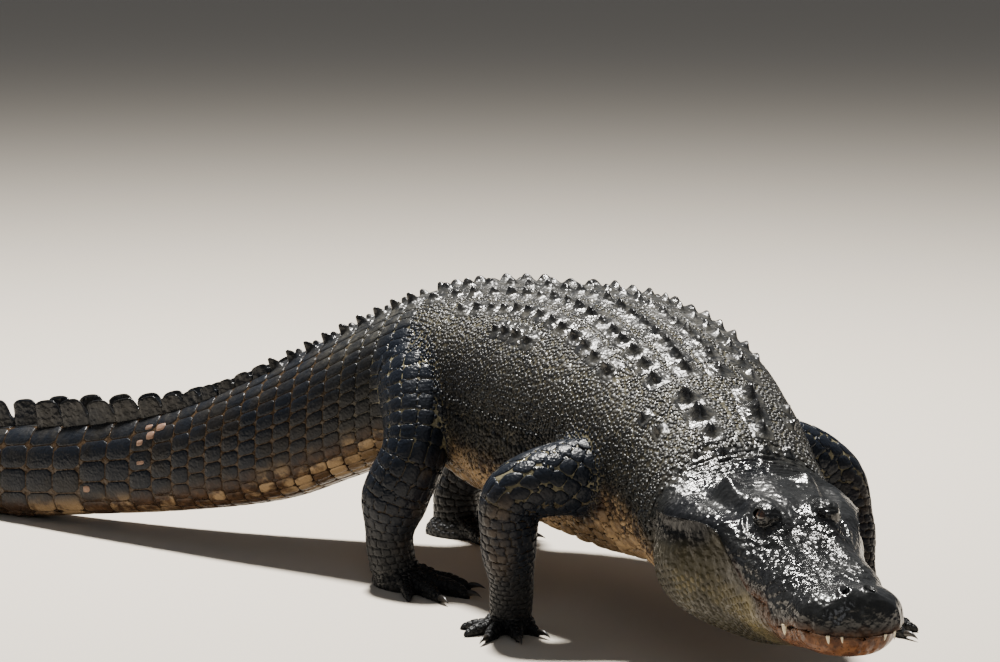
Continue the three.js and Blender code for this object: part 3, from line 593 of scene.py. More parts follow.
def body_half_ring(s):
    """Superellipse section, in equal steps of its own length from belly to back"""
    s = np.asarray(s, float)
    fine = np.linspace(-np.pi / 2, np.pi / 2, 241)
    upper = fine >= 0
    level = middle_level(s)
    lefts = np.empty((len(s), RING_HALF))
    heights = np.empty((len(s), RING_HALF))
    for i, station in enumerate(s):
        exponent = 2 / np.where(upper, top_squareness(station), underside_squareness(station))
        v = half_width(station) * power(np.cos(fine), exponent)
        reach = np.where(upper, top(station) - level[i], level[i] - underside(station))
        z = level[i] + reach * power(np.sin(fine), exponent)
        along = np.concatenate([[0], np.cumsum(np.hypot(np.diff(v), np.diff(z)))])
        even = np.linspace(0, along[-1], RING_HALF)
        lefts[i] = np.interp(even, along, v)
        heights[i] = np.interp(even, along, z)
    return lefts, heights


def grid_stations():
    """Stations of the skin's rings: closer at the rounded tip, the eyes and the nape"""
    tip = TIP_LENGTH * (1 - np.cos(np.linspace(0, np.pi / 2, 16))) * 0.94 + 0.6
    spans = [np.arange(first, last, step) for first, last, step in RING_SPANS]
    return np.concatenate([tip, *spans, [LAST_RING]])


def whole_ring(lefts, heights, s):
    """Right half from belly to back, then the left half back down, as points"""
    v = np.concatenate([-lefts, lefts[:, -2:0:-1]], 1)
    z = np.concatenate([heights, heights[:, -2:0:-1]], 1)
    return place(np.asarray(s)[:, None], v, z)


def grid_normals(grid):
    """Unit normals of a closed tube's grid, from central differences along it and round it"""
    along = np.gradient(grid, axis=0)
    around = (np.roll(grid, -1, 1) - np.roll(grid, 1, 1)) / 2
    normal = np.cross(along, around)
    return normal / np.maximum(np.linalg.norm(normal, axis=-1, keepdims=True), 1e-9)


def oriented(normal, grid):
    """Normals turned to point away from each ring's centre"""
    out = grid - grid.mean(1, keepdims=True)
    return normal * np.sign((normal * out).sum() or 1)


def axial_surface():
    """Head, trunk and tail as one surface: the head's rings turn into the body's behind the skull"""
    s = grid_stations()
    lefts, heights = body_half_ring(np.maximum(s, MORPH_START))
    front = s < MORPH_START + MORPH_LENGTH
    head_left, head_z = head_half_ring(s[front])
    share = smooth((s[front] - MORPH_START) / MORPH_LENGTH)[:, None]
    lefts[front] = head_left * (1 - share) + lefts[front] * share
    heights[front] = head_z * (1 - share) + heights[front] * share
    lefts[:, 0] = 0
    lefts[:, -1] = 0
    grid = whole_ring(lefts, heights, s)
    return {"u": s, "grid": grid, "normal": oriented(grid_normals(grid), grid)}


def sample(surface, u, v):
    """Position and normal at fractional station u and ring index v, by bilinear interpolation"""
    us, grid, normal = surface["u"], surface["grid"], surface["normal"]
    sides = grid.shape[1]
    row = np.interp(u, us, np.arange(len(us)))
    i = np.clip(row.astype(int), 0, len(us) - 2)
    a = (row - i)[..., None]
    v = np.mod(v, sides)
    j = v.astype(int) % sides
    n = (j + 1) % sides
    b = (v - np.floor(v))[..., None]

    def mix(f):
        """Weighted mean of a grid's four corners round each place"""
        near = f[i, j] * (1 - b) + f[i, n] * b
        far = f[i + 1, j] * (1 - b) + f[i + 1, n] * b
        return near * (1 - a) + far * a

    out = mix(normal)
    return mix(grid), out / np.maximum(np.linalg.norm(out, axis=-1, keepdims=True), 1e-9)


# Limbs


def catmull_rom(points, t):
    """Centripetal Catmull-Rom curve through the points, with reflected ends"""
    points = np.asarray(points, float)
    padded = np.concatenate([[2 * points[0] - points[1]], points, [2 * points[-1] - points[-2]]])
    at = np.clip(np.asarray(t) * (len(points) - 1), 0, len(points) - 1 - 1e-9)
    i = at.astype(int)
    w = (at - i)[:, None]
    p0, p1, p2, p3 = (padded[i + k] for k in range(4))
    d0, d1, d2 = (
        np.maximum(np.linalg.norm(b - a, axis=1, keepdims=True) ** 0.5, 1e-4)
        for a, b in ((p0, p1), (p1, p2), (p2, p3))
    )
    t1 = ((p1 - p0) / d0 - (p2 - p0) / (d0 + d1) + (p2 - p1) / d1) * d1
    t2 = ((p2 - p1) / d1 - (p3 - p1) / (d1 + d2) + (p3 - p2) / d2) * d1
    c2 = -3 * p1 + 3 * p2 - 2 * t1 - t2
    c3 = 2 * p1 - 2 * p2 + t1 + t2
    return p1 + t1 * w + c2 * w**2 + c3 * w**3


def limb_frames(limb, t):
    """Centre, along, widthwise and depthwise unit vectors and half sizes at shares t of the limb"""
    joints = np.array(limb["joints"], float)
    centre = catmull_rom(joints[:, :3], t) + SHIFT
    tiny = 1e-3
    along = catmull_rom(joints[:, :3], np.minimum(t + tiny, 1)) - catmull_rom(
        joints[:, :3], np.maximum(t - tiny, 0)
    )
    along /= np.linalg.norm(along, axis=1, keepdims=True)
    toward = math.radians(limb["toward"])
    ahead = np.array([math.cos(toward), math.sin(toward), 0.0])
    depthwise = ahead - along * (along @ ahead)[:, None]
    depthwise /= np.linalg.norm(depthwise, axis=1, keepdims=True)
    widthwise = np.cross(along, depthwise)
    at = t * (len(joints) - 1)
    near = np.clip(at.astype(int), 0, len(joints) - 2)
    share = smooth(at - near)
    width = joints[near, 3] * (1 - share) + joints[near + 1, 3] * share
    depth = joints[near, 4] * (1 - share) + joints[near + 1, 4] * share
    return centre, along, widthwise, depthwise, width, depth


LIMB_SIDES = 48
LIMB_RINGS = 90


def limb_surface(limb, inset):
    """Centre + widthwise x (width - inset) cos(angle) + depthwise x (depth - inset) sin(angle)"""
    t = np.linspace(0, 1, LIMB_RINGS)
    centre, _, widthwise, depthwise, width, depth = limb_frames(limb, t)
    angle = np.linspace(0, 2 * np.pi, LIMB_SIDES, endpoint=False)
    w = (width - inset)[:, None] * np.cos(angle)
    d = (depth - inset)[:, None] * np.sin(angle)
    grid = (
        centre[:, None]
        + w[..., None] * widthwise[:, None]
        + d[..., None] * depthwise[:, None]
    )
    return {"u": t, "grid": grid, "normal": oriented(grid_normals(grid), grid)}


def digit_lines(limb):
    """Root, heading angle, length and radius of each digit"""
    toward = math.radians(limb["toward"])
    root = np.array([limb["foot"][0], limb["foot"][1], 0.0]) + SHIFT
    return [
        (root, toward - limb["side"] * math.radians(angle), length, radius)
        for angle, length, radius in DIGITS[limb["fore"]]
    ]


def digit_surface(root, angle, length, radius):
    """Tapering toe with low knuckles, flat underneath where it meets the floor"""
    way = np.array([math.cos(angle), math.sin(angle), 0.0])
    side = np.array([-way[1], way[0], 0.0])
    t = np.linspace(0, 1, 26)
    height = np.interp(t, [0, 0.4, 0.75, 1], [26, 17, 12, 8.5]) * radius / DIGIT_RADIUS
    r = radius * np.interp(t, [0, 0.4, 0.75, 1], [1.5, 1.1, 0.94, 0.66])
    r = r * (1 + 0.07 * np.cos(t * 2 * np.pi * 3)) - 1.2
    taper = np.sqrt(np.clip(1 - (np.maximum(t - 0.84, 0) / 0.162) ** 2, 0.04, 1))
    r, height = r * taper, height * taper
    turn = np.linspace(0, 2 * np.pi, 24, endpoint=False)
    up = np.sin(turn)[None, :]
    rise = np.where(up < 0, np.maximum(r, height + 1.5)[:, None], r[:, None] * 0.95)
    centre = root + way * (length * t)[:, None]
    centre[:, 2] = height
    grid = centre[:, None] + side * (r[:, None] * np.cos(turn))[..., None]
    grid[..., 2] += up * rise
    return {"u": t, "grid": grid, "normal": oriented(grid_normals(grid), grid)}


def web_between(root, one, other):
    """Low plate of skin between two toes, with an arched edge"""
    ends = [
        root + np.array([math.cos(d[1]), math.sin(d[1]), 0]) * d[2] * 0.66 for d in (one, other)
    ]
    middle = (ends[0] + ends[1]) / 2 * 0.84 + root * 0.16
    edge = np.array([root, ends[0], middle, ends[1]])
    grid = np.stack([edge + [0, 0, 1.0], edge + [0, 0, 7.0]])
    return make_mesh(
        "web", grid.reshape(-1, 3),
        [tube_polygons(2, 4, closed_ends=False)[0], np.array([[3, 2, 0], [2, 1, 0]]),
         np.array([[4, 6, 7], [4, 5, 6]])],
    )


SOLE_LIFT = 6
FORE_SOLE = [48, 42, 32]
HIND_SOLE = [72, 46, 36]
FLOOR_SNAP = 1.2  # points lower than this lie on the floor


def limb_object(name, limb, inset):
    """A leg with its sole, digits and webs, as one closed surface that rests on the floor"""
    surface = limb_surface(limb, inset)
    obj = tube(name, surface["grid"])
    toward = math.radians(limb["toward"])
    axes = [
        [math.cos(toward), math.sin(toward), 0],
        [-math.sin(toward), math.cos(toward), 0],
        [0, 0, 1],
    ]
    root = np.array([limb["foot"][0], limb["foot"][1], SOLE_LIFT]) + SHIFT
    parts = [ellipsoid("sole", root, axes, FORE_SOLE if limb["fore"] else HIND_SOLE)]
    digits = digit_lines(limb)
    parts += [tube("digit", digit_surface(*d)["grid"]) for d in digits]
    if not limb["fore"]:
        parts += [
            web_between(root - [0, 0, SOLE_LIFT], one, other)
            for one, other in zip(digits[:-1], digits[1:])
        ]
    for part in parts:
        if volume_of(part) < 0:
            part.data.flip_normals()
    joined = merge_objects([obj] + parts)
    remesh(joined, 5.0)
    relax(joined, np.full(len(joined.data.vertices), 0.5), 3)
    points = vertices_of(joined)
    points[:, 2] = np.where(points[:, 2] < FLOOR_SNAP, 0.0, points[:, 2])
    set_vertices(joined, points)
    return joined


def merge_objects(objects):
    """One object that holds the meshes of several"""
    vertices, polygons, offset = [], {}, 0
    for obj in objects:
        points = vertices_of(obj)
        vertices.append(points)
        loops = np.empty(len(obj.data.loops), np.int32)
        obj.data.loops.foreach_get("vertex_index", loops)
        start = np.empty(len(obj.data.polygons), np.int32)
        total = np.empty(len(obj.data.polygons), np.int32)
        obj.data.polygons.foreach_get("loop_start", start)
        obj.data.polygons.foreach_get("loop_total", total)
        for sides in np.unique(total):
            rows = start[total == sides][:, None] + np.arange(sides)
            polygons.setdefault(int(sides), []).append(loops[rows] + offset)
        offset += len(points)
    name = objects[0].name
    remove(objects)
    merged = [np.concatenate(p) for p in polygons.values()]
    return make_mesh(name, np.concatenate(vertices), merged)


# Where a point lies on the animal, for its markings


CHUNK = 20000  # points looked up at a time


def locate(points):
    """Station, offset to the left and height of points of the model"""
    flat = points - SHIFT
    nodes = SPINE[::2]
    best = np.empty(len(points), int)
    for start in range(0, len(points), CHUNK):
        chunk = flat[start : start + CHUNK, :2]
        distance = ((chunk[:, None] - nodes[None]) ** 2).sum(-1)
        best[start : start + CHUNK] = distance.argmin(1)
    s = best * 2.0 * STEP
    for _ in range(2):
        at = unshifted(s, 0, 0)
        turn = np.radians(heading(s))
        offset = flat[:, :2] - at[:, :2]
        forward = offset[:, 0] * np.cos(turn) + offset[:, 1] * np.sin(turn)
        s = np.clip(s - forward, 0, TOTAL_LENGTH)
    left = -offset[:, 0] * np.sin(turn) + offset[:, 1] * np.cos(turn)
    return s, left, flat[:, 2]


def limb_distance(points, limb):
    """Distance outside the nearest of a row of balls along the limb"""
    centre, _, _, _, width, depth = limb_frames(limb, np.linspace(0, 1, 60))
    gap = np.full(len(points), np.inf)
    for middle, radius in zip(centre, (width + depth) / 2):
        gap = np.minimum(gap, np.linalg.norm(points - middle, axis=1) - radius)
    return gap


# Station, and the share of the height up to which the underside is pale
PALE_LINE = [
    (560, 0.30), (700, 0.36), (900, 0.26), (1500, 0.22), (1800, 0.2), (2300, 0.12), (3300, 0.1),
]


def markings(points):
    """Shares of the pale, rust, olive and other markings of each point, from where it lies"""
    s, left, z = locate(points)
    gap = np.min([limb_distance(points, limb) for limb in LIMBS.values()], 0)
    limb = smooth(1 - (gap + 2) / 22)
    low, high = underside(s), top(s)
    off = np.abs(left)
    digit = (z < 60) & (s > 560) & (s < 1800) & (off > 0.7 * half_width(s))
    limb = np.where(digit, 1.0, limb)
    foot = limb * smooth((150 - z) / 90)
    rise = np.clip((z - low) / np.maximum(high - low, 1), 0, 1)
    body = smooth((s - 500) / 60)
    head = 1 - body
    tail = smooth((s - 1600) / 200)
    line = np.interp(s, *zip(*PALE_LINE))
    pale = smooth((line + 0.16 - rise) / 0.24) * body * (1 - limb)
    below = mouth_line(s) - z
    front = smooth((255 - s) / 130)
    lip_edge = ridge(below, -1, 9) * smooth((300 - s) / 90)
    rust = np.maximum(front * smooth((below - 1) / 8), lip_edge * 0.55) * head
    behind = smooth((s - 330) / 60)
    olive = head * smooth((below - 1 - 26 * behind) / (24 + 26 * behind)) * (1 - front)
    throat = smooth((below - 70) / 60) * head
    pale = np.maximum(pale, throat * 0.5 * (1 - front))
    across = off / np.maximum(half_width(s), 1)
    dust = body * smooth((rise - 0.5) / 0.35) * (1 - tail * 0.75) * (1 - limb)
    dust = dust * smooth((1.05 - across) / 0.4)
    return {
        "pale": pale, "rust": rust, "olive": olive, "dust": dust, "limb": limb,
        "foot": foot, "tail": tail * (1 - limb), "seam": limb * smooth((z - 215) / 80),
        "gloss": np.clip(
            head * smooth((-below + 2) / 34) + dust + 0.35 * limb * (z > 300) + 0.3 * foot, 0, 1
        ),
    }


def set_attributes(obj, values):
    """Gives the mesh one number a vertex under each name"""
    for name, data in values.items():
        attribute = obj.data.attributes.new(name, "FLOAT", "POINT")
        attribute.data.foreach_set("value", np.asarray(data, np.float32))


# Skin


BODY_SQUARENESS = 2.3


def body_blend(points):
    """About how far points lie outside the trunk's section, in millimetres"""
    s, left, z = locate(points)
    level = middle_level(s)
    reach = np.where(z > level, top(s) - level, level - underside(s))
    across = np.abs(left) / np.maximum(half_width(s), 1)
    up = np.abs(z - level) / np.maximum(reach, 1)
    r = (across**BODY_SQUARENESS + up**BODY_SQUARENESS) ** (1 / BODY_SQUARENESS)
    return (r - 1) * np.minimum(half_width(s), reach)


def skin_relief(surface):
    """Wrinkles, -depth x window x (1 - abs(sin(phase))^sharpness), and swellings along the normal"""
    s = surface["u"][:, None]
    sides = surface["grid"].shape[1]
    a = (np.arange(sides)[None, :] - (RING_HALF - 1)) / (RING_HALF - 1)
    around = np.abs(a)
    relief = swellings(s, around, BODY_RELIEF)
    for depth, wavelength, wander, sharpness, along_window, round_window in WRINKLES:
        phase = s + wander * (np.sin(around * 9 + a) + 0.4 * np.sin(around * 23 + 2 * a))
        crest = np.abs(np.sin(np.pi * phase / wavelength)) ** sharpness
        share = window(s, *along_window) * window(around, *round_window)
        relief = relief - depth * share * (1 - crest)
    return relief


def skin_object(inset):
    """Closed skin of the head, trunk and tail, set in below the scales, and its surface"""
    surface = axial_surface()
    s = surface["u"][:, None]
    depth = inset * smooth((s - 470) / 80) + 0.6 + 2.2 * smooth((70 - s) / 40)
    grid = surface["grid"] + surface["normal"] * (skin_relief(surface) - depth)[..., None]
    grid[..., 2] = np.maximum(grid[..., 2], 0.0)
    surface["grid"] = grid
    surface["normal"] = oriented(grid_normals(grid), grid)
    return tube("skin", grid), surface


def eye_axes(sign):
    """Unit rows: ahead along the head, up, and the way the eye looks"""
    turn = math.radians(float(heading(EYE_STATION)))
    ahead = np.array([math.cos(turn), math.sin(turn), 0.0])
    left = np.array([-math.sin(turn), math.cos(turn), 0.0])
    look = left * sign * 0.86 + ahead * 0.38 + np.array([0, 0, 0.34])
    look /= np.linalg.norm(look)
    forward = ahead - look * (ahead @ look)
    forward /= np.linalg.norm(forward)
    return np.stack([forward, np.cross(look, forward) * sign, look])


def eye_centre(sign):
    """Middle of an eye, on the animal's right for -1 and on its left for 1"""
    return place(EYE_STATION, sign * EYE_OFFSET, base_line(EYE_STATION) + EYE_HEIGHT)


def carve_head(skin):
    """Adds the lids and cuts the eye openings, the nostrils and the ear slits"""
    lids, cuts = [], []
    turn = math.radians(float(heading(100)))
    ahead = np.array([math.cos(turn), math.sin(turn), 0.0])
    left = np.array([-math.sin(turn), math.cos(turn), 0.0])
    up = np.array([0.0, 0.0, 1.0])
    for sign in (-1, 1):
        axes = eye_axes(sign)
        centre = eye_centre(sign)
        lids.append(ellipsoid("lid", centre - axes[2], axes, LID_RADII, 40, 56))
        rim = centre + axes[2] * 7 - axes[1] * 7
        lids.append(ellipsoid("lower_lid", rim, axes, LOWER_LID_RADII, 24, 40))
        front = centre + axes[2] * 13 + axes[1]
        cuts.append(ellipsoid("opening", front, axes, EYE_OPENING_RADII, 32, 48))
        cuts.append(ellipsoid("socket", centre, axes, [EYE_RADIUS + SOCKET_CLEARANCE] * 3, 40, 56))
        slant = math.radians(NOSTRIL_SLANT) * sign
        along = ahead * math.cos(slant) + left * math.sin(slant)
        nostril = place(NOSTRIL_STATION, sign * NOSTRIL_OFFSET, 0.0)
        nostril[2] = float(head_top(np.array([NOSTRIL_STATION]), np.array([NOSTRIL_OFFSET]))[0])
        nostril += ahead * 2
        axes = [along, np.cross(up, along), up]
        cuts.append(ellipsoid("nostril", nostril, axes, NOSTRIL_RADII, 24, 32))
        ear = place(EAR_STATION, sign * EAR_OFFSET, base_line(EAR_STATION) + EAR_HEIGHT)
        slit = ahead * 0.94 - left * sign * 0.34
        cuts.append(ellipsoid("ear", ear, [slit, np.cross(up, slit), up], EAR_RADII, 20, 32))
    combine(skin, lids, "UNION")
    combine(skin, cuts, "DIFFERENCE")


def build_skin(inset):
    """The whole skin: trunk and head, joined to the four legs and smoothed where they meet"""
    skin, surface = skin_object(inset)
    carve_head(skin)
    limbs = [limb_object(name, limb, inset) for name, limb in LIMBS.items()]
    combine(skin, limbs, "UNION")
    points = vertices_of(skin)
    outside = body_blend(points)
    near = np.min([np.abs(limb_distance(points, limb)) for limb in LIMBS.values()], 0)
    s = locate(points)[0]
    weight = np.exp(-((outside / 34) ** 2) - (near / 30) ** 2) * (s > 600) * (points[:, 2] > 130)
    relax(skin, 0.7 * np.clip(weight * 1.4, 0, 1), 26)
    skin.data.polygons.foreach_set("use_smooth", np.full(len(skin.data.polygons), True))
    return skin, surface


# Scales

# Kinds of plate: sides, power of the superellipse outline, and rings of (share of the half size, share
# of the height) from the buried edge up
BEAD = (6, 2.4, [(1.0, -0.8), (0.9, 0.55)])
PEBBLE = (8, 2.6, [(1.0, -0.8), (0.88, 0.5), (0.5, 0.92)])
PLATE = (12, 5, [(1.0, -0.9), (0.96, 0.5), (0.8, 0.9), (0.36, 1.0)])
FINE_PLATE = (16, 7, [(1.0, -0.9), (0.97, 0.45), (0.88, 0.85), (0.45, 1.0)])
CUSHION = (14, 3.4, [(1.0, -0.9), (0.95, 0.3), (0.8, 0.72), (0.45, 0.96)])
DIAMOND = (16, 1.3, [(1.0, -0.9), (0.96, 0.45), (0.86, 0.85), (0.45, 1.0)])
PEAK = 1.04  # height of a plate's middle, as a share of its height


def template(shape):
    """Offsets (x, y, height) and polygons of one plate: rings that step in to a centre, closed below"""
    sides, squareness, rings = shape
    angle = 2 * np.pi * (np.arange(sides) + 0.5) / sides
    scale = np.abs(np.cos(angle)) ** squareness + np.abs(np.sin(angle)) ** squareness
    rim = np.stack([np.cos(angle), np.sin(angle)], 1) * (scale ** (-1 / squareness))[:, None]
    rows = [np.column_stack([rim * r, np.full(sides, h)]) for r, h in rings]
    points = np.concatenate(rows + [[[0, 0, PEAK]]])
    count = len(rings)
    k = np.arange(sides)
    n = (k + 1) % sides
    quads = np.concatenate(
        [np.stack([r * sides + k, r * sides + n, (r + 1) * sides + n, (r + 1) * sides + k], 1)
         for r in range(count - 1)]
    )
    centre = count * sides
    fan = np.stack([(count - 1) * sides + k, (count - 1) * sides + n, np.full(sides, centre)], 1)
    return points, [quads, fan, np.arange(sides)[::-1][None, :]]


class Scales:
    """Collects plates for one joined mesh, with the places and sizes of those to keep clear of"""

    def __init__(self):
        self.vertices, self.uv = [], []
        self.values = {"rand": [], "edge": [], "dark": [], "scar": []}
        self.polygons = {}
        self.count = 0
        self.roots, self.sizes = [], []

    def add(self, points, edge, uv, rand, polygons, dark=0.0, scar=0.0):
        """points (plates, corners, 3), uv (plates, corners, 2); rand a plate; edge and dark a corner"""
        plates, corners, _ = points.shape
        shift = self.count + np.arange(plates)[:, None, None] * corners
        for part in polygons:
            sides = np.asarray(part).shape[1]
            self.polygons.setdefault(sides, []).append((part + shift).reshape(-1, sides))
        self.vertices.append(points.reshape(-1, 3))
        self.uv.append(uv.reshape(-1, 2))
        self.values["rand"].append(np.repeat(rand, corners))
        self.values["edge"].append(np.tile(edge, plates))
        self.values["dark"].append(np.tile(np.broadcast_to(dark, corners), plates))
        self.values["scar"].append(np.full(plates * corners, scar))
        self.count += plates * corners

    def build(self, name, material):
        """The joined mesh, kept inside the solids' box, with its bake map, markings and material"""
        points = np.concatenate(self.vertices)
        points = np.clip(points, CAD_LOW, CAD_HIGH)
        obj = make_mesh(name, points, [np.concatenate(p) for p in self.polygons.values()])
        loops = np.empty(len(obj.data.loops), np.int32)
        obj.data.loops.foreach_get("vertex_index", loops)
        layer = obj.data.uv_layers.new(name="OFBake")
        layer.data.foreach_set("uv", np.concatenate(self.uv)[loops].astype(np.float32).ravel())
        values = {key: np.concatenate(parts) for key, parts in self.values.items()}
        set_attributes(obj, markings(points) | values)
        obj.data.materials.append(material)
        return obj


TRUNK = -1  # the trunk's strip on the bake map; the limbs' are 0 to 3
PATCH = 0.0014  # half size of a plate's patch on the bake map
FARTHEST_DROP = 16  # plates farther than this from the skin are left out


def atlas(kind, u, v):
    """Place on the bake map: the trunk in a wide strip, the four limbs in a row above it"""
    if kind == TRUNK:
        return np.stack([0.02 + 0.95 * u, 0.02 + 0.55 * v], -1)
    return np.stack([0.02 + 0.245 * kind + 0.21 * u, 0.62 + 0.34 * v], -1)


def lay_plates(
    scales, surface, u, v, half_u, half_v, shape, height, rng, skin_tree, kind=TRUNK, keep=None, scar=0.0
):
    """Sets plates on a surface at (u, v) with half sizes in its units, then drops them on the skin"""
    offsets, polygons = template(shape)
    values = np.broadcast_arrays(u, v, half_u, half_v, height)
    u, v, half_u, half_v, height = (np.atleast_1d(x).astype(float) for x in values)
    centre = sample(surface, u, v)[0]
    shift = np.zeros_like(centre)
    good = np.ones(len(u), bool) if keep is None else keep.copy()
    for i, point in enumerate(centre):
        hit, _, _, distance = skin_tree.find_nearest(Vector(point * MM))
        if hit is None or distance / MM > FARTHEST_DROP:
            good[i] = False
        else:
            shift[i] = np.array(hit) / MM - point
    values = u, v, half_u, half_v, height, shift, centre
    u, v, half_u, half_v, height, shift, centre = (x[good] for x in values)
    if not len(u):
        return
    pu = u[:, None] + offsets[None, :, 0] * half_u[:, None]
    pv = v[:, None] + offsets[None, :, 1] * half_v[:, None]
    points, normal = sample(surface, pu, pv)
    points = points + normal * (offsets[None, :, 2] * height[:, None])[..., None] + shift[:, None]
    reach = np.abs(offsets[:, :2]).max(1)
    length = TOTAL_LENGTH if kind == TRUNK else 1.0
    root = atlas(kind, u / length, v / surface["grid"].shape[1])
    uv = root[:, None] + offsets[None, :, :2] * PATCH
    scales.add(points, reach, uv, rng.random(len(u)), polygons, scar=scar)
    scales.roots.append(centre + shift)
    scales.sizes.append(np.linalg.norm(points[:, 0] - points[:, shape[0] // 2], axis=1) / 2)


def ring_length(surface, s):
    """Half the length round the section at stations s"""
    grid = surface["grid"]
    per_row = np.linalg.norm(np.diff(grid[:, :RING_HALF], axis=1), axis=2).sum(1)
    return np.interp(s, surface["u"], per_row)


def index_of(a):
    """Ring index of a share of the way round: 0 on the back, -1 and 1 under the belly"""
    return (RING_HALF - 1) * (1 + np.asarray(a))


def rows_of_plates(surface, starts, ends, near, far, width, rng, brick=False, jitter=0.0):
    """Rows across the body: u, v, half_u and half_v of plates between two shares of the way round"""
    us, vs, hus, hvs = [], [], [], []
    for i, (s0, s1) in enumerate(zip(starts, ends)):
        s = (s0 + s1) / 2
        half = ring_length(surface, s)
        a0, a1 = near(s), far(s)
        count = max(int(round((a1 - a0) * half / width(s))), 1)
        step = (a1 - a0) / count
        for sign in (-1, 1):
            k = np.arange(count) + 0.5 + (0.5 * (i % 2) if brick else 0)
            a = sign * (a0 + k * step)
            u = np.full(count, s) + rng.normal(0, jitter, count) * (s1 - s0)
            us.append(u)
            vs.append(index_of(a + rng.normal(0, jitter, count) * step))
            hus.append(np.full(count, (s1 - s0) / 2))
            hvs.append(np.full(count, step / 2 * (RING_HALF - 1)))
    return tuple(np.concatenate(x) for x in (us, vs, hus, hvs))


def whorl_stations():
    """Stations of the tail's rings of plates, each one local pitch behind the last"""
    made = []
    s = FIRST_WHORL
    while s < LAST_WHORL:
        made.append(s)
        s += float(whorl_pitch(s))
    return np.array(made)


def in_turns(surface, length, s):
    """A length round the section, in steps of the ring's index"""
    return length / ring_length(surface, s) * (RING_HALF - 1)


def none(s):
    """Share of the way round at the midline of the back"""
    return 0.0


def whole(s):
    """Share of the way round at the midline of the belly"""
    return 1.0


def shield_edge(surface):
    """Share of the way round where the plates of the back end"""

    def edge(s):
        """(columns x pitch + a gap) / half the way round"""
        return (columns_each_side(s) * COLUMN_PITCH + 4) / ring_length(surface, s)

    return edge


WHORL_PLATE_WIDTH = [  # station, width of a plate round the tail
    (1600, 25), (1900, 27), (2050, 31), (2200, 39), (2400, 46), (2700, 40), (3000, 26), (3300, 12),
]
SCARS = [  # station, share of the way round on the right side, half length, half width
    (2090, 0.27, 11, 8), (2112, 0.31, 9, 8), (2134, 0.345, 8, 6), (2120, 0.25, 9, 5),
    (2128, 0.47, 10, 4), (2262, 0.62, 9, 7),
]


def tail_scales(scales, surface, tree, rng, groove):
    """Oblong plates in rings round the tail, and small ones between its two crests"""
    whorls = whorl_stations()
    pitch = whorl_pitch(whorls)
    starts, ends = whorls - pitch / 2, whorls + pitch / 2
    starts[1:] = (whorls[1:] + whorls[:-1]) / 2
    ends[:-1] = starts[1:]
    margin = groove * 0.45

    def edge(s):
        """Share of the way round where the crest's foot ends"""
        return np.minimum((crest_spread(s) + 6) / ring_length(surface, s), 0.5)

    u, v, hu, hv = rows_of_plates(
        surface, starts, ends, edge, whole, lambda s: np.interp(s, *zip(*WHORL_PLATE_WIDTH)), rng
    )
    hv = hv - in_turns(surface, margin, u)
    lay_plates(scales, surface, u, v, hu - margin, hv, FINE_PLATE, 2.0, rng, tree)
    u, v, hu, hv = rows_of_plates(surface, starts, ends, none, edge, lambda s: 20, rng)
    lay_plates(scales, surface, u, v, hu - margin, hv * 0.94, PLATE, 1.6, rng, tree)
    for station, around, half_long, half_wide in SCARS:
        half = float(in_turns(surface, half_wide, station))
        spot = float(index_of(-around))
        lay_plates(scales, surface, station, spot, half_long, half, PLATE, 3.0, rng, tree, scar=1.0)


BELLY_EDGE = [  # station, share of the way round where the square plates of the underside begin
    (560, 0.72), (640, 0.6), (760, 0.58), (900, 0.7), (1500, 0.7), (1590, 0.76),
]


def belly_edge(s):
    """Share of the way round where the square plates of the underside begin"""
    return np.interp(s, *zip(*BELLY_EDGE))


def belly_scales(scales, surface, tree, rng, groove):
    """Square plates in rows under the neck, chest and belly"""
    edges = np.concatenate([np.arange(560, 890, 30.0), np.arange(890, 1590, 28.0)])
    u, v, hu, hv = rows_of_plates(
        surface, edges[:-1], edges[1:], belly_edge, whole,
        lambda s: np.interp(s, [560, 660, 1000], [22, 31, 34]), rng, True, 0.06,
    )
    size = rng.uniform(0.9, 1.0, len(u))
    lay_plates(
        scales, surface, u, v, (hu - groove) * size, hv * 0.88 * size, CUSHION, 4.4, rng, tree
    )


def bead_rows(surface, starts, pitch, near, far, width, rng, jitter):
    """Staggered rows of uneven beads: the rows of plates, each shrunk by its own share"""
    u, v, hu, hv = rows_of_plates(surface, starts, starts + pitch, near, far, width, rng, True, jitter)
    size = rng.uniform(0.84, 1.02, len(u))
    return u, v, hu * size, hv * size


LATERAL_ROWS = [  # first and last station, share of the way round, half size of a bead
    (900, 1440, 0.52, 8.5), (960, 1500, 0.475, 6), (880, 1300, 0.57, 6),
]


def flank_scales(scales, surface, tree, rng):
    """Small beads in staggered columns down the flanks, and rows of bigger ones along them"""
    pitch = 8.6
    u, v, hu, hv = bead_rows(
        surface, np.arange(745, 1578, pitch), pitch, shield_edge(surface), belly_edge,
        lambda s: np.interp(s, [745, 1300], [9.4, 10.4]), rng, 0.1,
    )
    height = rng.uniform(0.9, 1.5, len(u))
    lay_plates(scales, surface, u, v, hu, hv, BEAD, height, rng, tree)
    for first, last, share, half in LATERAL_ROWS:
        u = np.arange(first, last, 2.15 * half)
        u = np.tile(u + rng.normal(0, 0.8, len(u)), 2)
        sign = np.repeat([-1, 1], len(u) // 2)
        v = index_of(sign * (share + rng.normal(0, 0.004, len(u))))
        wide = in_turns(surface, half * 0.85, u)
        long = half * rng.uniform(0.8, 1, len(u))
        lay_plates(scales, surface, u, v, long, wide, PEBBLE, 4.2, rng, tree)


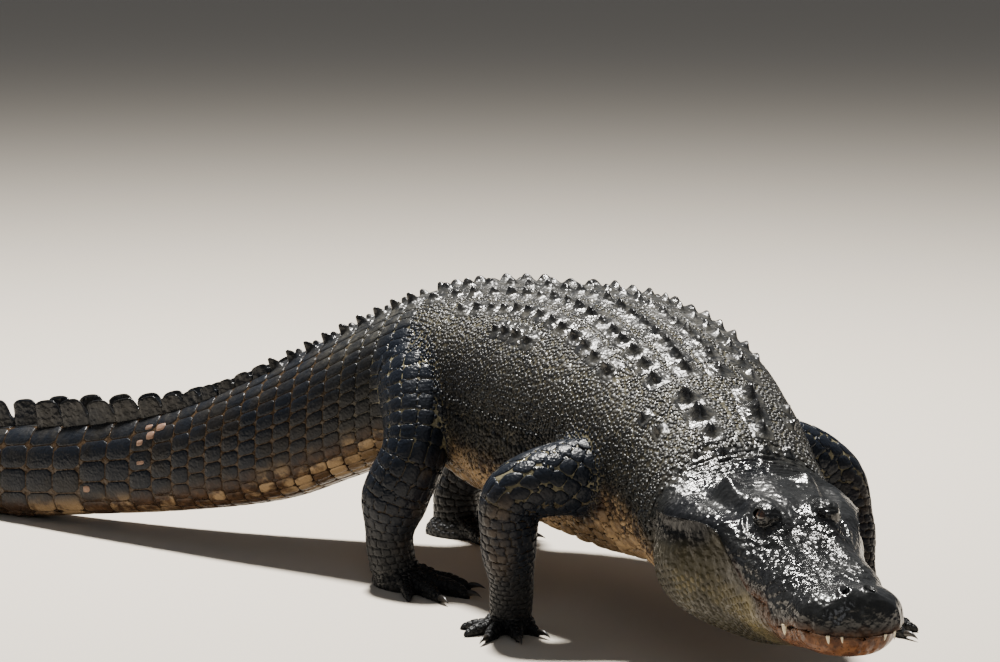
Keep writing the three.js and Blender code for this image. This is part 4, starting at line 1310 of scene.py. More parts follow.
def neck_scales(scales, surface, tree, rng):
    """Uneven beads and grains of the nape, neck and shoulders"""
    pitch = 7.6
    u, v, hu, hv = bead_rows(
        surface, np.arange(556, 745, pitch), pitch, lambda s: 0.005, belly_edge, lambda s: 8.6, rng, 0.16
    )
    height = rng.uniform(0.9, 2.6, len(u))
    lay_plates(scales, surface, u, v, hu, hv, BEAD, height, rng, tree)


def throat_scales(scales, surface, tree, rng):
    """Flat scales in rows over the jowls and the throat"""
    starts = np.arange(250, 556, 9.5)
    lip = 1 - (JAW_POINTS - 2) / (RING_HALF - 1)
    u, v, hu, hv = rows_of_plates(
        surface, starts, starts + 9.5,
        lambda s: np.interp(s, [250, 400, 520, 560], [lip + 0.03, lip + 0.05, lip, 0.6]),
        whole, lambda s: 7.5, rng, True, 0.08,
    )
    height = rng.uniform(0.6, 1.1, len(u))
    lay_plates(scales, surface, u, v, hu * 0.92, hv * 0.88, BEAD, height, rng, tree)


SEAM_SHARE = 0.09  # share of a row or column, at each of its edges, that small scales fill


def back_skin_scales(scales, surface, tree, rng):
    """Small flat scales that fill the gaps between the plates of the back"""
    pitch = 7.8
    u, v, hu, hv = bead_rows(
        surface, np.arange(742, 1575, pitch), pitch, none, shield_edge(surface), lambda s: 8.4, rng, 0.12
    )
    row = np.mod(u - FIRST_ROW + ROW_PITCH / 2, ROW_PITCH) / ROW_PITCH
    arc = np.abs(v - (RING_HALF - 1)) / (RING_HALF - 1) * ring_length(surface, u)
    column = np.mod(arc, COLUMN_PITCH) / COLUMN_PITCH
    gap = arc > (np.round(columns_each_side(u)) - 0.05) * COLUMN_PITCH
    for share in (row, column):
        gap |= np.abs(share - 0.5) > 0.5 - SEAM_SHARE
    lay_plates(scales, surface, u[gap], v[gap], hu[gap], hv[gap], BEAD, 1.5, rng, tree)


# Rows down a limb: share of its length, row pitch and width of a plate, in millimetres
FORE_ROWS = [(0, 20, 37), (0.42, 20, 37), (0.55, 16, 25), (0.75, 12, 17), (1, 9, 12)]
HIND_ROWS = [(0, 23, 31), (0.45, 23, 31), (0.6, 25, 28), (0.8, 19, 22), (1, 11, 14)]
DIAMOND_SHARE = 0.52  # share of a foreleg's length that bears diamonds
DIAMOND_LENGTH = 0.79  # half length of a diamond, in row pitches
DIAMOND_WIDTH = 0.92  # width of a diamond, as a share of its column


def limb_scales(scales, tree, rng, inset, groove):
    """Staggered diamonds on the upper arm, oblong plates on the thigh, smaller plates below"""
    for kind, limb in enumerate(LIMBS.values()):
        surface = limb_surface(limb, inset)
        grid = surface["grid"]
        length = np.linalg.norm(np.diff(grid.mean(1), axis=0), axis=1)
        along = np.concatenate([[0], np.cumsum(length)])
        total = along[-1]
        rows = np.array(FORE_ROWS if limb["fore"] else HIND_ROWS)
        per_mm = np.gradient(surface["u"]) / np.gradient(along)
        sets = {}
        done, index = 0.0, 0
        while done < total:
            pitch = np.interp(done / total, rows[:, 0], rows[:, 1])
            width = np.interp(done / total, rows[:, 0], rows[:, 2])
            t = np.interp(done + pitch / 2, along, surface["u"])
            ring = sample(surface, np.full(LIMB_SIDES, t), np.arange(LIMB_SIDES))[0]
            around = np.linalg.norm(np.roll(ring, -1, 0) - ring, axis=1).sum()
            n = max(int(round(around / width)), 6)
            diamond = limb["fore"] and done / total < DIAMOND_SHARE
            stagger = 0.5 * (index % 2) if limb["fore"] or done / total > 0.6 else 0.0
            v = (np.arange(n) + stagger) * LIMB_SIDES / n
            rate = np.interp(done + pitch / 2, along, per_mm)
            if diamond:
                half_u, fill = pitch * DIAMOND_LENGTH * rate, DIAMOND_WIDTH
            else:
                half_u, fill = (pitch / 2 - groove * 0.4) * rate, 1 - groove * 0.8 / width
            half_v = 0.5 * LIMB_SIDES / n * fill
            row = [np.broadcast_to(x, n) for x in (t, v, half_u, half_v, rate)]
            sets.setdefault(diamond, []).append(np.stack(row))
            done += pitch
            index += 1
        for diamond, chosen in sets.items():
            u, v, hu, hv, rate = np.concatenate(chosen, 1)
            centre = sample(surface, u, v)[0]
            step = 0.01
            ahead = sample(surface, np.minimum(u + step, 1), v)[0]
            behind = sample(surface, np.maximum(u - step, 0), v)[0]
            stretch = np.linalg.norm(ahead - behind, axis=1) / (2 * step) * rate
            keep = (stretch > 0.4) & (centre[:, 2] > 34) & (body_blend(centre) > 2)
            shape = DIAMOND if diamond else FINE_PLATE
            lay_plates(scales, surface, u, v, hu, hv, shape, 1.7, rng, tree, kind, keep)


def digit_scales(scales, tree, rng):
    """Three plates abreast down the top of each digit"""
    for kind, limb in enumerate(LIMBS.values()):
        for digit in digit_lines(limb):
            surface = digit_surface(*digit)
            rows = int(digit[2] / 11)
            t = (np.arange(rows) + 0.5) / rows
            u = np.repeat(t, 3)
            v = np.tile([2.2, 6, 9.8], rows)
            keep = u > 0.3
            half = 0.44 / rows
            lay_plates(scales, surface, u[keep], v[keep], half, 1.75, PLATE, 1.5, rng, tree, kind)


def triangle_samples(obj, allowed, count, rng):
    """Random points over a mesh, even by area, on triangles whose middles are allowed"""
    mesh = obj.data
    mesh.calc_loop_triangles()
    tri = np.empty(len(mesh.loop_triangles) * 3, np.int32)
    mesh.loop_triangles.foreach_get("vertices", tri)
    corners = vertices_of(obj)[tri].reshape(-1, 3, 3)
    cross = np.cross(corners[:, 1] - corners[:, 0], corners[:, 2] - corners[:, 0])
    area = np.linalg.norm(cross, axis=1)
    normal = cross / np.maximum(area[:, None], 1e-9)
    area = area * allowed(corners.mean(1))
    pick = np.searchsorted(np.cumsum(area), rng.random(count) * area.sum())
    pick = np.clip(pick, 0, len(area) - 1)
    r1, r2 = np.sqrt(rng.random(count))[:, None], rng.random(count)[:, None]
    c = corners[pick]
    return c[:, 0] * (1 - r1) + c[:, 1] * (r1 * (1 - r2)) + c[:, 2] * (r1 * r2), normal[pick]


CELL = 3.6
REACH = 2  # cells looked at on each side for a neighbour
MARGIN = 60  # room round the points, for the cells of those at the edge
LARGEST = 6  # cells that the biggest plate covers on each side of its middle
ROUNDS = 6
CROWDING = 0.82  # least gap between middles, as a share of the two sizes' sum


def spread_out(points, size, taken, taken_size):
    """Picks points that keep clear of each other and of those already taken, in rounds of cells"""
    low = np.minimum(points.min(0), taken.min(0)) - MARGIN
    high = np.maximum(points.max(0), taken.max(0)) + MARGIN
    shape = np.ceil((high - low) / CELL).astype(int)
    owner = np.full(shape, -1, np.int32)
    covered = np.zeros(shape, bool)
    steps = np.arange(-LARGEST, LARGEST + 1)
    ox, oy, oz = (x.ravel() for x in np.meshgrid(steps, steps, steps, indexing="ij"))
    home = ((taken - low) / CELL).astype(int)
    for dx, dy, dz in zip(ox, oy, oz):
        far = math.sqrt(dx * dx + dy * dy + dz * dz) * CELL
        near = taken_size > far
        if near.any():
            h = home[near]
            covered[h[:, 0] + dx, h[:, 1] + dy, h[:, 2] + dz] = True
    cell = ((points - low) / CELL).astype(int)
    free = ~covered[cell[:, 0], cell[:, 1], cell[:, 2]]
    span = np.arange(-REACH, REACH + 1)
    kept = []
    for batch in np.array_split(np.nonzero(free)[0], ROUNDS):
        phase = (cell[batch] % 3) @ np.array([9, 3, 1])
        for wanted in range(27):
            ids = batch[phase == wanted]
            if not len(ids):
                continue
            key = (cell[ids, 0] * shape[1] + cell[ids, 1]) * shape[2] + cell[ids, 2]
            ids = ids[np.unique(key, return_index=True)[1]]
            clear = np.ones(len(ids), bool)
            for dx in span:
                for dy in span:
                    for dz in span:
                        c = cell[ids]
                        other = owner[c[:, 0] + dx, c[:, 1] + dy, c[:, 2] + dz]
                        there = other >= 0
                        gap = np.linalg.norm(points[other] - points[ids], axis=1)
                        clear &= ~there | (gap > CROWDING * (size[other] + size[ids]))
            ids = ids[clear]
            owner[cell[ids, 0], cell[ids, 1], cell[ids, 2]] = ids
            kept.append(ids)
    return np.concatenate(kept)


FILL_TRIES = 78000
FILL_SIZE = 5.1


def fill_scales(scales, skin, rng, others):
    """Small scales where no plate lies: armpits, groins, shoulders, ankles and feet"""

    def allowed(middle):
        """Behind the head and before the tail, clear of the floor"""
        s, _, z = locate(middle)
        return (s > 545) & (z > 4) & (s < 1660)

    points, normal = triangle_samples(skin, allowed, FILL_TRIES, rng)
    s, left, z = locate(points)
    size = FILL_SIZE * rng.uniform(0.85, 1.2, len(points))
    size = np.where(z < 70, size * 0.88, size)
    roots = np.concatenate([np.concatenate(o.roots) for o in others if o.roots])
    sizes = np.concatenate([np.concatenate(o.sizes) for o in others if o.sizes])
    chosen = spread_out(points, size, roots, sizes * 0.95)
    centre, out, s, r = points[chosen], normal[chosen], s[chosen], size[chosen]
    left, z = left[chosen], z[chosen]
    turn = np.radians(heading(s))
    ahead = np.stack([np.cos(turn), np.sin(turn), np.zeros(len(turn))], 1)
    ahead -= out * (ahead * out).sum(1, keepdims=True)
    ahead /= np.maximum(np.linalg.norm(ahead, axis=1, keepdims=True), 1e-6)
    across = np.cross(out, ahead)
    offsets, polygons = template(BEAD)
    stretch = rng.uniform(1.0, 1.35, len(r))
    height = rng.uniform(0.9, 1.7, len(r))
    verts = (
        centre[:, None]
        + ahead[:, None] * (offsets[None, :, 0] * (r * stretch)[:, None])[..., None]
        + across[:, None] * (offsets[None, :, 1] * (r / stretch**0.5)[:, None])[..., None]
        + out[:, None] * (offsets[None, :, 2] * height[:, None])[..., None]
    )
    fraction = np.mod(np.arctan2(left, z - 200) / (2 * np.pi) + 0.5, 1)
    uv = atlas(-1, s / TOTAL_LENGTH, fraction)[:, None] + offsets[None, :, :2] * PATCH
    scales.add(verts, np.abs(offsets[:, :2]).max(1), uv, rng.random(len(r)), polygons)


# Scutes and crests


SCUTE_CLEARANCE = 20.0  # half size of the space that small scales leave for a keeled plate


def keeled_plate(keel_width):
    """Grid plate over [-1, 1] squared: a low dome whose keel climbs backwards to a hook"""
    nx, ny = 16, 17
    gx, gy = np.meshgrid(np.linspace(-1, 1, nx), power(np.linspace(-1, 1, ny), 1.3), indexing="ij")
    edge = np.maximum(np.abs(gx), np.abs(gy))
    rim = np.clip((1 - edge) / 0.1, 0, 1) ** 0.5
    px = gx * (1 - 0.05 * np.abs(gy) ** 3)
    py = gy * (1 - 0.08 * np.abs(gx) ** 3)
    climb = smooth((0.62 - gx) / 0.95) * np.sqrt(smooth((gx + 1.0) / 0.5))
    keel = np.exp(-(np.abs(gy / keel_width) ** 1.6)) * climb
    skirt = 0.16 * (1 - np.abs(gy)) ** 1.4 * climb
    return px, py, rim, keel, skirt


def add_scutes(scales, surface, u, v, half_u, half_v, plate, keel_height, rng, keel_width=0.2):
    """Keeled plates at (u, v) that follow the surface, with dark keels"""
    px, py, rim, keel, skirt = keeled_plate(keel_width)
    nx, ny = px.shape
    u, v, half_u, half_v, keel_height = (
        np.atleast_1d(x).astype(float)[:, None, None]
        for x in np.broadcast_arrays(u, v, half_u, half_v, keel_height)
    )
    count = len(u)
    lean = rng.normal(0, 0.05, (count, 1, 1)) * px[None]
    pu = u - px[None] * half_u
    pv = v + (py[None] + lean) * half_v
    rough = rng.normal(0, 0.22, (count, nx, ny)) * (rim[None] > 0.9)
    height = plate * (rim[None] * 1.6 - 0.6) + (keel + skirt)[None] * keel_height + rough
    points, normal = sample(surface, pu, pv)
    backward = sample(surface, pu + 1, pv)[0] - points
    points = points + normal * height[..., None] + backward * (0.08 * height * keel[None])[..., None]
    i = np.arange(nx - 1)[:, None] * ny + np.arange(ny - 1)[None, :]
    quads = np.stack([i, i + ny, i + ny + 1, i + 1], -1).reshape(-1, 4)
    points = points.reshape(count, -1, 3)
    a, b, c = (points[0, quads[0, k]] for k in range(3))
    inside_out = np.cross(b - a, c - a) @ normal[0, 0, 0] < 0
    border = np.concatenate(
        [np.arange(ny), np.arange(1, nx) * ny + ny - 1, (nx - 1) * ny + np.arange(ny - 1)[::-1],
         np.arange(1, nx - 1)[::-1] * ny]
    )[None, :]
    if inside_out:
        quads = quads[:, ::-1]
    else:
        border = border[:, ::-1]
    root = atlas(-1, u[:, 0, 0] / TOTAL_LENGTH, v[:, 0, 0] / surface["grid"].shape[1])
    uv = root[:, None] + np.stack([px.ravel(), py.ravel()], -1)[None] * PATCH * 3
    edge = np.maximum(np.abs(px), np.abs(py)).ravel()
    dark = smooth(keel * 1.6 - 0.15).ravel()
    scales.add(points, edge, uv, rng.random(count), [quads, border], dark=dark)
    scales.roots.append(points.mean(1))
    scales.sizes.append(np.full(count, SCUTE_CLEARANCE))


def back_scutes(scales, surface, rng, keel_height):
    """Keeled plates in rows on the back and along the tail's root, and in pairs on the neck"""
    for row in range(ROW_COUNT):
        station = FIRST_ROW + row * ROW_PITCH
        columns = int(np.floor(columns_each_side(station) + 0.5))
        half = float(ring_length(surface, station))
        c = np.tile(np.arange(columns), 2)
        sign = np.repeat([-1, 1], columns)
        u = station + rng.normal(0, 1.5, len(c))
        v = index_of(sign * (c + 0.5) * COLUMN_PITCH / half)
        hu = ROW_PITCH * 0.485 * rng.uniform(0.95, 1.0, len(c))
        hv = in_turns(surface, COLUMN_PITCH * 0.465, station) * rng.uniform(0.93, 1.02, len(c))
        keels = keel_height * (1 - 0.07 * c) * rng.uniform(0.6, 1.0, len(c))
        add_scutes(scales, surface, u, v, hu, hv, 1.8, keels, rng, keel_width=0.24)
    sign = np.array([-1, 1])
    for station, around, length, width, keel in NUCHAL_PLATES:
        v = index_of(sign * around / ring_length(surface, station))
        hv = in_turns(surface, width / 2, station)
        add_scutes(scales, surface, station, v, length / 2, hv, 2.0, keel * 0.8, rng, keel_width=0.34)
    for station in whorl_stations():
        if station < FLAP_START:
            v = index_of(sign * crest_spread(station) / ring_length(surface, station))
            hu, hv = whorl_pitch(station) * 0.48, in_turns(surface, 21, station)
            add_scutes(scales, surface, station, v, hu, hv, 1.8, crest_height(station) * 0.95, rng)


def crest_flaps(scales, surface, rng):
    """Upright flaps along the tail: joined at the root, thin and rounded at the free top"""
    nx, nz = 14, 12
    gx, gz = np.meshgrid(np.linspace(0.5, -0.5, nx), np.linspace(-0.22, 1, nz), indexing="ij")
    shape = np.clip(1 - (np.abs(gx + 0.06) / 0.58) ** 3, 0.02, 1) ** 0.5
    for station in whorl_stations():
        if station < FLAP_START:
            continue
        pitch = float(whorl_pitch(station))
        for sign in (-1, 1) if station < SINGLE_CREST_START else (0,):
            index = float(index_of(sign * crest_spread(station) / ring_length(surface, station)))
            spot, normal = sample(surface, np.array([station]), np.array([index]))
            ahead = sample(surface, np.array([station - 10.0]), np.array([index]))[0] - spot
            stretch = np.linalg.norm(ahead) / 10
            ahead = ahead[0] / np.linalg.norm(ahead)
            out = normal[0] * 0.4 + np.array([0, 0, 0.6])
            out = out / np.linalg.norm(out)
            across = np.cross(out, ahead)
            across /= np.linalg.norm(across)
            height = float(crest_height(station)) * rng.uniform(0.92, 0.99) - 1.0
            free = smooth((gz - 0.25) / 0.4)
            level = gz * (1 - free) + gz * (0.25 + 0.75 * shape) * free
            along = gx * pitch * stretch * (1 - 0.12 * free * gz**2)
            along = along - np.maximum(gz, 0) ** 2 * pitch * 0.1
            thick = 5.2 * np.interp(gz, [-0.22, 0, 0.4, 1], [1.25, 1.1, 0.75, 0.28])
            thick = thick * (1 - (0.35 + 0.5 * free) * np.abs(gx * 2) ** 5)
            thick = thick * (1 + 0.10 * np.sin(gx * 16 + rng.uniform(0, 6)) * (gz > 0.1))
            wave = 1.6 * np.sin(gx * 5 + rng.uniform(0, 6)) * np.maximum(gz, 0)
            sheet = [
                spot[0] + ahead * along[..., None] + out * (level * height)[..., None]
                + across * (wave + face * thick)[..., None]
                for face in (1, -1)
            ]
            points = np.concatenate([sheet[0], sheet[1][:, ::-1]], 1)
            flat = points.reshape(1, -1, 3)
            polygons = tube_polygons(nx, 2 * nz)
            a, b, c = (flat[0, polygons[0][0, k]] for k in range(3))
            if np.cross(b - a, c - a) @ across < 0:
                polygons = [part[:, ::-1] for part in polygons]
            root = atlas(-1, station / TOTAL_LENGTH, index / surface["grid"].shape[1])
            span = np.stack([np.concatenate([gx, gx], 1), np.concatenate([gz, gz[:, ::-1]], 1)], -1)
            uv = root + span.reshape(1, -1, 2) * PATCH * 3
            dark = smooth((np.concatenate([gz, gz[:, ::-1]], 1).ravel() - 0.55) / 0.4) * 0.7
            scales.add(flat, np.zeros(len(flat[0])), uv, rng.random(1), polygons, dark=dark)


# Eyes, teeth and claws


def eye_object(name, sign):
    """Ball with the distance from the iris's middle and from the upright slit at each vertex"""
    axes = eye_axes(sign)
    obj = ellipsoid(name, eye_centre(sign), axes, [EYE_RADIUS] * 3, 64, 96)
    local = (vertices_of(obj) - eye_centre(sign)) @ axes.T / EYE_RADIUS
    iris = np.hypot(local[:, 0], local[:, 1]) + (local[:, 2] < 0) * 2
    set_attributes(obj, {"iris": iris, "slit": np.abs(local[:, 0])})
    return obj


def teeth_object():
    """Blunt cones, radius x (1 - t^1.6)^0.7, that hang from the upper jaw over the lower lip"""
    teeth = []
    for s, length, radius in TEETH:
        for sign in (-1, 1):
            v0 = sign * (float(snout_half(np.array(float(s)))) - radius * 0.5)
            t = np.linspace(0, 1, 11)
            r = radius * (1 - t**1.6) ** 0.7 + 0.12
            angle = np.linspace(0, 2 * np.pi, 14, endpoint=False)
            z = float(mouth_line(s)) + 5 - (length + 4) * t
            lean = sign * 1.5 * t[:, None] ** 2
            stations = s + r[:, None] * np.sin(angle)
            offsets = v0 + r[:, None] * np.cos(angle) - lean
            teeth.append(tube("tooth", place(stations, offsets, z[:, None] + 0 * angle)))
    return merge_objects(teeth)


def claws_object():
    """Curved horn cones on the inner three digits of each foot"""
    parts = []
    for limb in LIMBS.values():
        for root, angle, length, radius in digit_lines(limb)[:CLAWED_DIGITS]:
            way = np.array([math.cos(angle), math.sin(angle), 0.0])
            side = np.array([-way[1], way[0], 0.0])
            t = np.linspace(0, 1, 16)
            centre = root + way * (length - 5 + (CLAW_LENGTH + 4.5) * t)[:, None]
            centre[:, 2] = 8.5 * radius / DIGIT_RADIUS + 3.4 * np.sin(np.pi * t * 0.8) - 5.4 * t**2
            r = np.interp(t, [0, 0.15, 0.5, 1], [5.6, 5.8, 4.3, 0.5])
            turn = np.linspace(0, 2 * np.pi, 16, endpoint=False)
            grid = centre[:, None] + side * (r[:, None] * 0.82 * np.cos(turn))[..., None]
            grid[..., 2] += r[:, None] * np.sin(turn)
            grid[..., 2] = np.maximum(grid[..., 2], 0.3)
            parts.append(tube("claw", grid))
    return merge_objects(parts)


# Materials


def new_material(name):
    """Empty material: itself, its nodes, its links and its shader"""
    material = bpy.data.materials.new(name)
    material.use_nodes = True
    nodes = material.node_tree.nodes
    return material, nodes, material.node_tree.links, nodes["Principled BSDF"]


class Wiring:
    """Short ways to add the nodes of one tree"""

    def __init__(self, tree, vector):
        self.nodes, self.links, self.vector = tree.nodes, tree.links, vector

    def attribute(self, name):
        """A number that the mesh holds at each vertex"""
        node = self.nodes.new("ShaderNodeAttribute")
        node.attribute_name = name
        return node.outputs["Fac"]

    def noise(self, scale, detail=4.0, rough=0.6):
        """Fractal noise from 0 to 1"""
        node = self.nodes.new("ShaderNodeTexNoise")
        node.inputs["Scale"].default_value = scale
        node.inputs["Detail"].default_value = detail
        node.inputs["Roughness"].default_value = rough
        self.links.new(self.vector, node.inputs["Vector"])
        return node.outputs["Fac"]

    def cells(self, scale, feature="F1"):
        """Distance to the nearest of scattered points"""
        node = self.nodes.new("ShaderNodeTexVoronoi")
        node.feature = feature
        node.inputs["Scale"].default_value = scale
        self.links.new(self.vector, node.inputs["Vector"])
        return node.outputs["Distance"]

    def ranged(self, value, low, high, to_low=0.0, to_high=1.0):
        """Smooth step of a value between two levels"""
        node = self.nodes.new("ShaderNodeMapRange")
        node.interpolation_type = "SMOOTHSTEP"
        for name, number in (
            ("From Min", low), ("From Max", high), ("To Min", to_low), ("To Max", to_high),
        ):
            node.inputs[name].default_value = number
        self.links.new(value, node.inputs["Value"])
        return node.outputs["Result"]

    def maths(self, operation, a, b, clamp=True):
        """Sum, product or the like of two numbers or sockets"""
        node = self.nodes.new("ShaderNodeMath")
        node.operation = operation
        node.use_clamp = clamp
        for socket, value in zip(node.inputs, (a, b)):
            if isinstance(value, (int, float)):
                socket.default_value = value
            else:
                self.links.new(value, socket)
        return node.outputs[0]

    def product(self, a, b):
        """Product of two numbers or sockets, clipped to 0 and 1"""
        return self.maths("MULTIPLY", a, b)

    def ramp(self, value, low, high, low_at, high_at):
        """Colour that runs from one to another between two levels of a value"""
        node = self.nodes.new("ShaderNodeValToRGB")
        for stop, colour, level in zip(node.color_ramp.elements, (low, high), (low_at, high_at)):
            stop.color = (*colour, 1)
            stop.position = level
        self.links.new(value, node.inputs["Fac"])
        return node.outputs["Color"]

    def mix(self, a, b, factor):
        """Colour mix; a and b are colours or sockets"""
        node = self.nodes.new("ShaderNodeMix")
        node.data_type = "RGBA"
        colours = [x for x in node.inputs if x.type == "RGBA"]
        for socket, value in zip(colours, (a, b)):
            if isinstance(value, tuple):
                socket.default_value = (*value, 1)
            else:
                self.links.new(value, socket)
        share = next(x for x in node.inputs if x.type == "VALUE")
        self.links.new(factor, share)
        return next(x for x in node.outputs if x.type == "RGBA")


MARKINGS = ("Pale", "Rust", "Olive", "Dust", "Limb", "Foot", "Tail", "Rand", "Edge", "Dark", "Scar")
# Tones of the plates
BLACK = (0.0055, 0.0064, 0.0078)
RIM_BLACK = (0.015, 0.0145, 0.0125)
DEEP_BLACK = (0.0045, 0.005, 0.0065)
BLUE_BLACK = (0.0065, 0.0085, 0.013)
KEEL_BLACK = (0.0045, 0.0045, 0.005)
FOOT_BLACK = (0.011, 0.0112, 0.0115)
TAIL_BROWN = (0.014, 0.012, 0.010)
WET_GREY = (0.018, 0.019, 0.020)
DRY_GREY = (0.080, 0.076, 0.064)
GRIT = (0.16, 0.14, 0.10)
DARK_BROWN = (0.022, 0.013, 0.008)
BROWN = (0.075, 0.040, 0.020)
CREAM = (0.33, 0.225, 0.12)
BUFF = (0.27, 0.185, 0.10)
DARK_OLIVE = (0.040, 0.036, 0.025)
OLIVE = (0.125, 0.102, 0.046)
JOWL_GREY = (0.028, 0.026, 0.023)
DARK_RUST = (0.070, 0.029, 0.015)
RUST = (0.175, 0.078, 0.035)
RUST_SPECK = (0.025, 0.016, 0.011)
RUST_TAN = (0.070, 0.048, 0.028)
PINK_SCAR = (0.20, 0.125, 0.09)
# Tones of the bare skin between plates
SEAM_BLACK = (0.012, 0.011, 0.009)
SEAM_GREY = (0.048, 0.043, 0.030)
DUSTY_SEAM = (0.085, 0.078, 0.054)
LIMB_SEAM = (0.022, 0.016, 0.010)
CREAM_SEAM = (0.12, 0.108, 0.068)
TAIL_SEAM = (0.040, 0.026, 0.015)
FOOT_SEAM = (0.010, 0.010, 0.010)
OLIVE_SEAM = (0.030, 0.027, 0.015)
# Darkest and lightest tone of the teeth and of the claws
IVORY = ((0.50, 0.42, 0.27), (0.72, 0.64, 0.46))
HORN = ((0.012, 0.011, 0.010), (0.035, 0.03, 0.025))


def hide_tone_group():
    """Node group: colour and wetness of the hide's plates from its markings"""
    group = bpy.data.node_groups.new("hide_tone", "ShaderNodeTree")
    face = group.interface
    for name in MARKINGS:
        face.new_socket(name=name, in_out="INPUT", socket_type="NodeSocketFloat")
    face.new_socket(name="Vector", in_out="INPUT", socket_type="NodeSocketVector")
    face.new_socket(name="Color", in_out="OUTPUT", socket_type="NodeSocketColor")
    face.new_socket(name="Wet", in_out="OUTPUT", socket_type="NodeSocketFloat")
    given = group.nodes.new("NodeGroupInput")
    out = group.nodes.new("NodeGroupOutput")
    w = Wiring(group, given.outputs["Vector"])
    at = given.outputs
    blotch = w.noise(9.0, 5.0)
    fine = w.noise(70.0, 4.0)
    grit = w.noise(260.0, 3.0)

    tone = w.mix(BLACK, RIM_BLACK, at["Rand"])
    tone = w.mix(tone, DEEP_BLACK, w.ranged(w.noise(6.0, 4.0), 0.45, 0.62, 0.0, 0.8))
    tone = w.mix(tone, BLUE_BLACK, w.maths("MAXIMUM", at["Limb"], at["Tail"]))
    tone = w.mix(tone, TAIL_BROWN, w.product(at["Tail"], w.ranged(blotch, 0.45, 0.62, 0.0, 0.6)))

    dusty = w.mix(WET_GREY, DRY_GREY, w.ranged(fine, 0.36, 0.70))
    tone = w.mix(tone, dusty, w.product(at["Dust"], w.ranged(blotch, 0.35, 0.65, 0.30, 0.90)))

    brown = w.mix(DARK_BROWN, BROWN, w.ranged(fine, 0.3, 0.72))
    patches = w.maths("ADD", w.noise(15.0, 5.0, 0.65), w.product(at["Rand"], 0.22))
    cream = w.mix(brown, CREAM, w.ranged(patches, 0.56, 0.72))
    cream = w.mix(cream, BUFF, w.product(w.ranged(at["Pale"], 0.7, 1.0), 0.4))
    cream = w.mix(cream, brown, w.product(at["Tail"], w.ranged(patches, 0.60, 0.74, 1.0, 0.25)))
    tone = w.mix(tone, cream, at["Pale"])

    olive = w.mix(DARK_OLIVE, OLIVE, w.ranged(blotch, 0.42, 0.66))
    olive = w.mix(olive, JOWL_GREY, w.ranged(w.noise(34.0, 5.0, 0.7), 0.46, 0.66, 0.0, 0.6))
    tone = w.mix(tone, olive, at["Olive"])

    rust = w.mix(DARK_RUST, RUST, w.ranged(fine, 0.35, 0.65))
    rust = w.mix(rust, RUST_SPECK, w.ranged(grit, 0.57, 0.66, 0.0, 0.85))
    rust = w.mix(rust, RUST_TAN, w.ranged(blotch, 0.42, 0.62, 0.0, 0.75))
    tone = w.mix(tone, rust, at["Rust"])

    tone = w.mix(tone, KEEL_BLACK, w.product(at["Dark"], 0.9))
    tone = w.mix(tone, FOOT_BLACK, w.product(at["Foot"], 0.85))
    tone = w.mix(tone, GRIT, w.product(w.ranged(grit, 0.62, 0.72, 0.0, 0.35), at["Dust"]))
    tone = w.mix(tone, PINK_SCAR, at["Scar"])
    w.links.new(tone, out.inputs["Color"])
    wet = w.ranged(w.noise(16.0, 3.0), 0.35, 0.7, 0.15, 0.32)
    for mark, rougher in (("Dust", 0.03), ("Foot", 0.12)):
        wet = w.maths("ADD", wet, w.product(at[mark], rougher))
    w.links.new(wet, out.inputs["Wet"])
    return group


def bare_skin(w, marks, colour):
    """Mix of the plates' colour with that of bare skin, where the mesh's groove share says so"""
    bare = w.mix(SEAM_BLACK, SEAM_GREY, w.ranged(w.noise(40.0), 0.38, 0.68))
    for seam_tone, share in (
        (DUSTY_SEAM, marks["Dust"]), (LIMB_SEAM, marks["Limb"]), (CREAM_SEAM, w.attribute("seam")),
        (TAIL_SEAM, marks["Tail"]), (DARK_BROWN, marks["Pale"]),
        (FOOT_SEAM, w.ranged(marks["Foot"], 0.15, 0.7)), (OLIVE_SEAM, marks["Olive"]),
    ):
        bare = w.mix(bare, seam_tone, share)
    return w.mix(colour, bare, w.attribute("groove"))


def hide_material(name, group, cell_scale, depth, gloss_top=0.5, rougher=0.0, seams=False):
    """Wet hide: colour from the markings, wet gloss and pebbled relief; seams is for the bare skin"""
    material, nodes, links, shader = new_material(name)
    coords = nodes.new("ShaderNodeTexCoord")
    w = Wiring(material.node_tree, coords.outputs["Object"])
    tone = nodes.new("ShaderNodeGroup")
    tone.node_tree = group
    links.new(coords.outputs["Object"], tone.inputs["Vector"])
    marks = {socket: w.attribute(socket.lower()) for socket in MARKINGS}
    for socket, value in marks.items():
        links.new(value, tone.inputs[socket])
    colour = tone.outputs["Color"]
    if seams:
        colour = bare_skin(w, marks, colour)
    links.new(colour, shader.inputs["Base Color"])
    links.new(w.maths("ADD", tone.outputs["Wet"], rougher), shader.inputs["Roughness"])
    shader.inputs["Specular IOR Level"].default_value = 0.3
    shine = w.ranged(w.attribute("gloss"), 0.0, 1.0, 0.13, gloss_top)
    links.new(shine, shader.inputs["Specular IOR Level"])
    height = w.maths("MULTIPLY", w.cells(cell_scale, "SMOOTH_F1"), -1.3, clamp=False)
    for value, share in (
        (w.cells(cell_scale * 2.3), -0.22),
        (w.noise(cell_scale * 3.0, 3.0), 0.12),
        (w.noise(cell_scale * 0.3, 3.0), 1.5),
    ):
        step = w.maths("MULTIPLY", value, share, clamp=False)
        height = w.maths("ADD", height, step, clamp=False)
    relief = nodes.new("ShaderNodeBump")
    relief.inputs["Strength"].default_value = 1.0
    if seams:
        links.new(w.attribute("grain"), relief.inputs["Strength"])
    relief.inputs["Distance"].default_value = depth * MM
    links.new(height, relief.inputs["Height"])
    links.new(relief.outputs["Normal"], shader.inputs["Normal"])
    return material


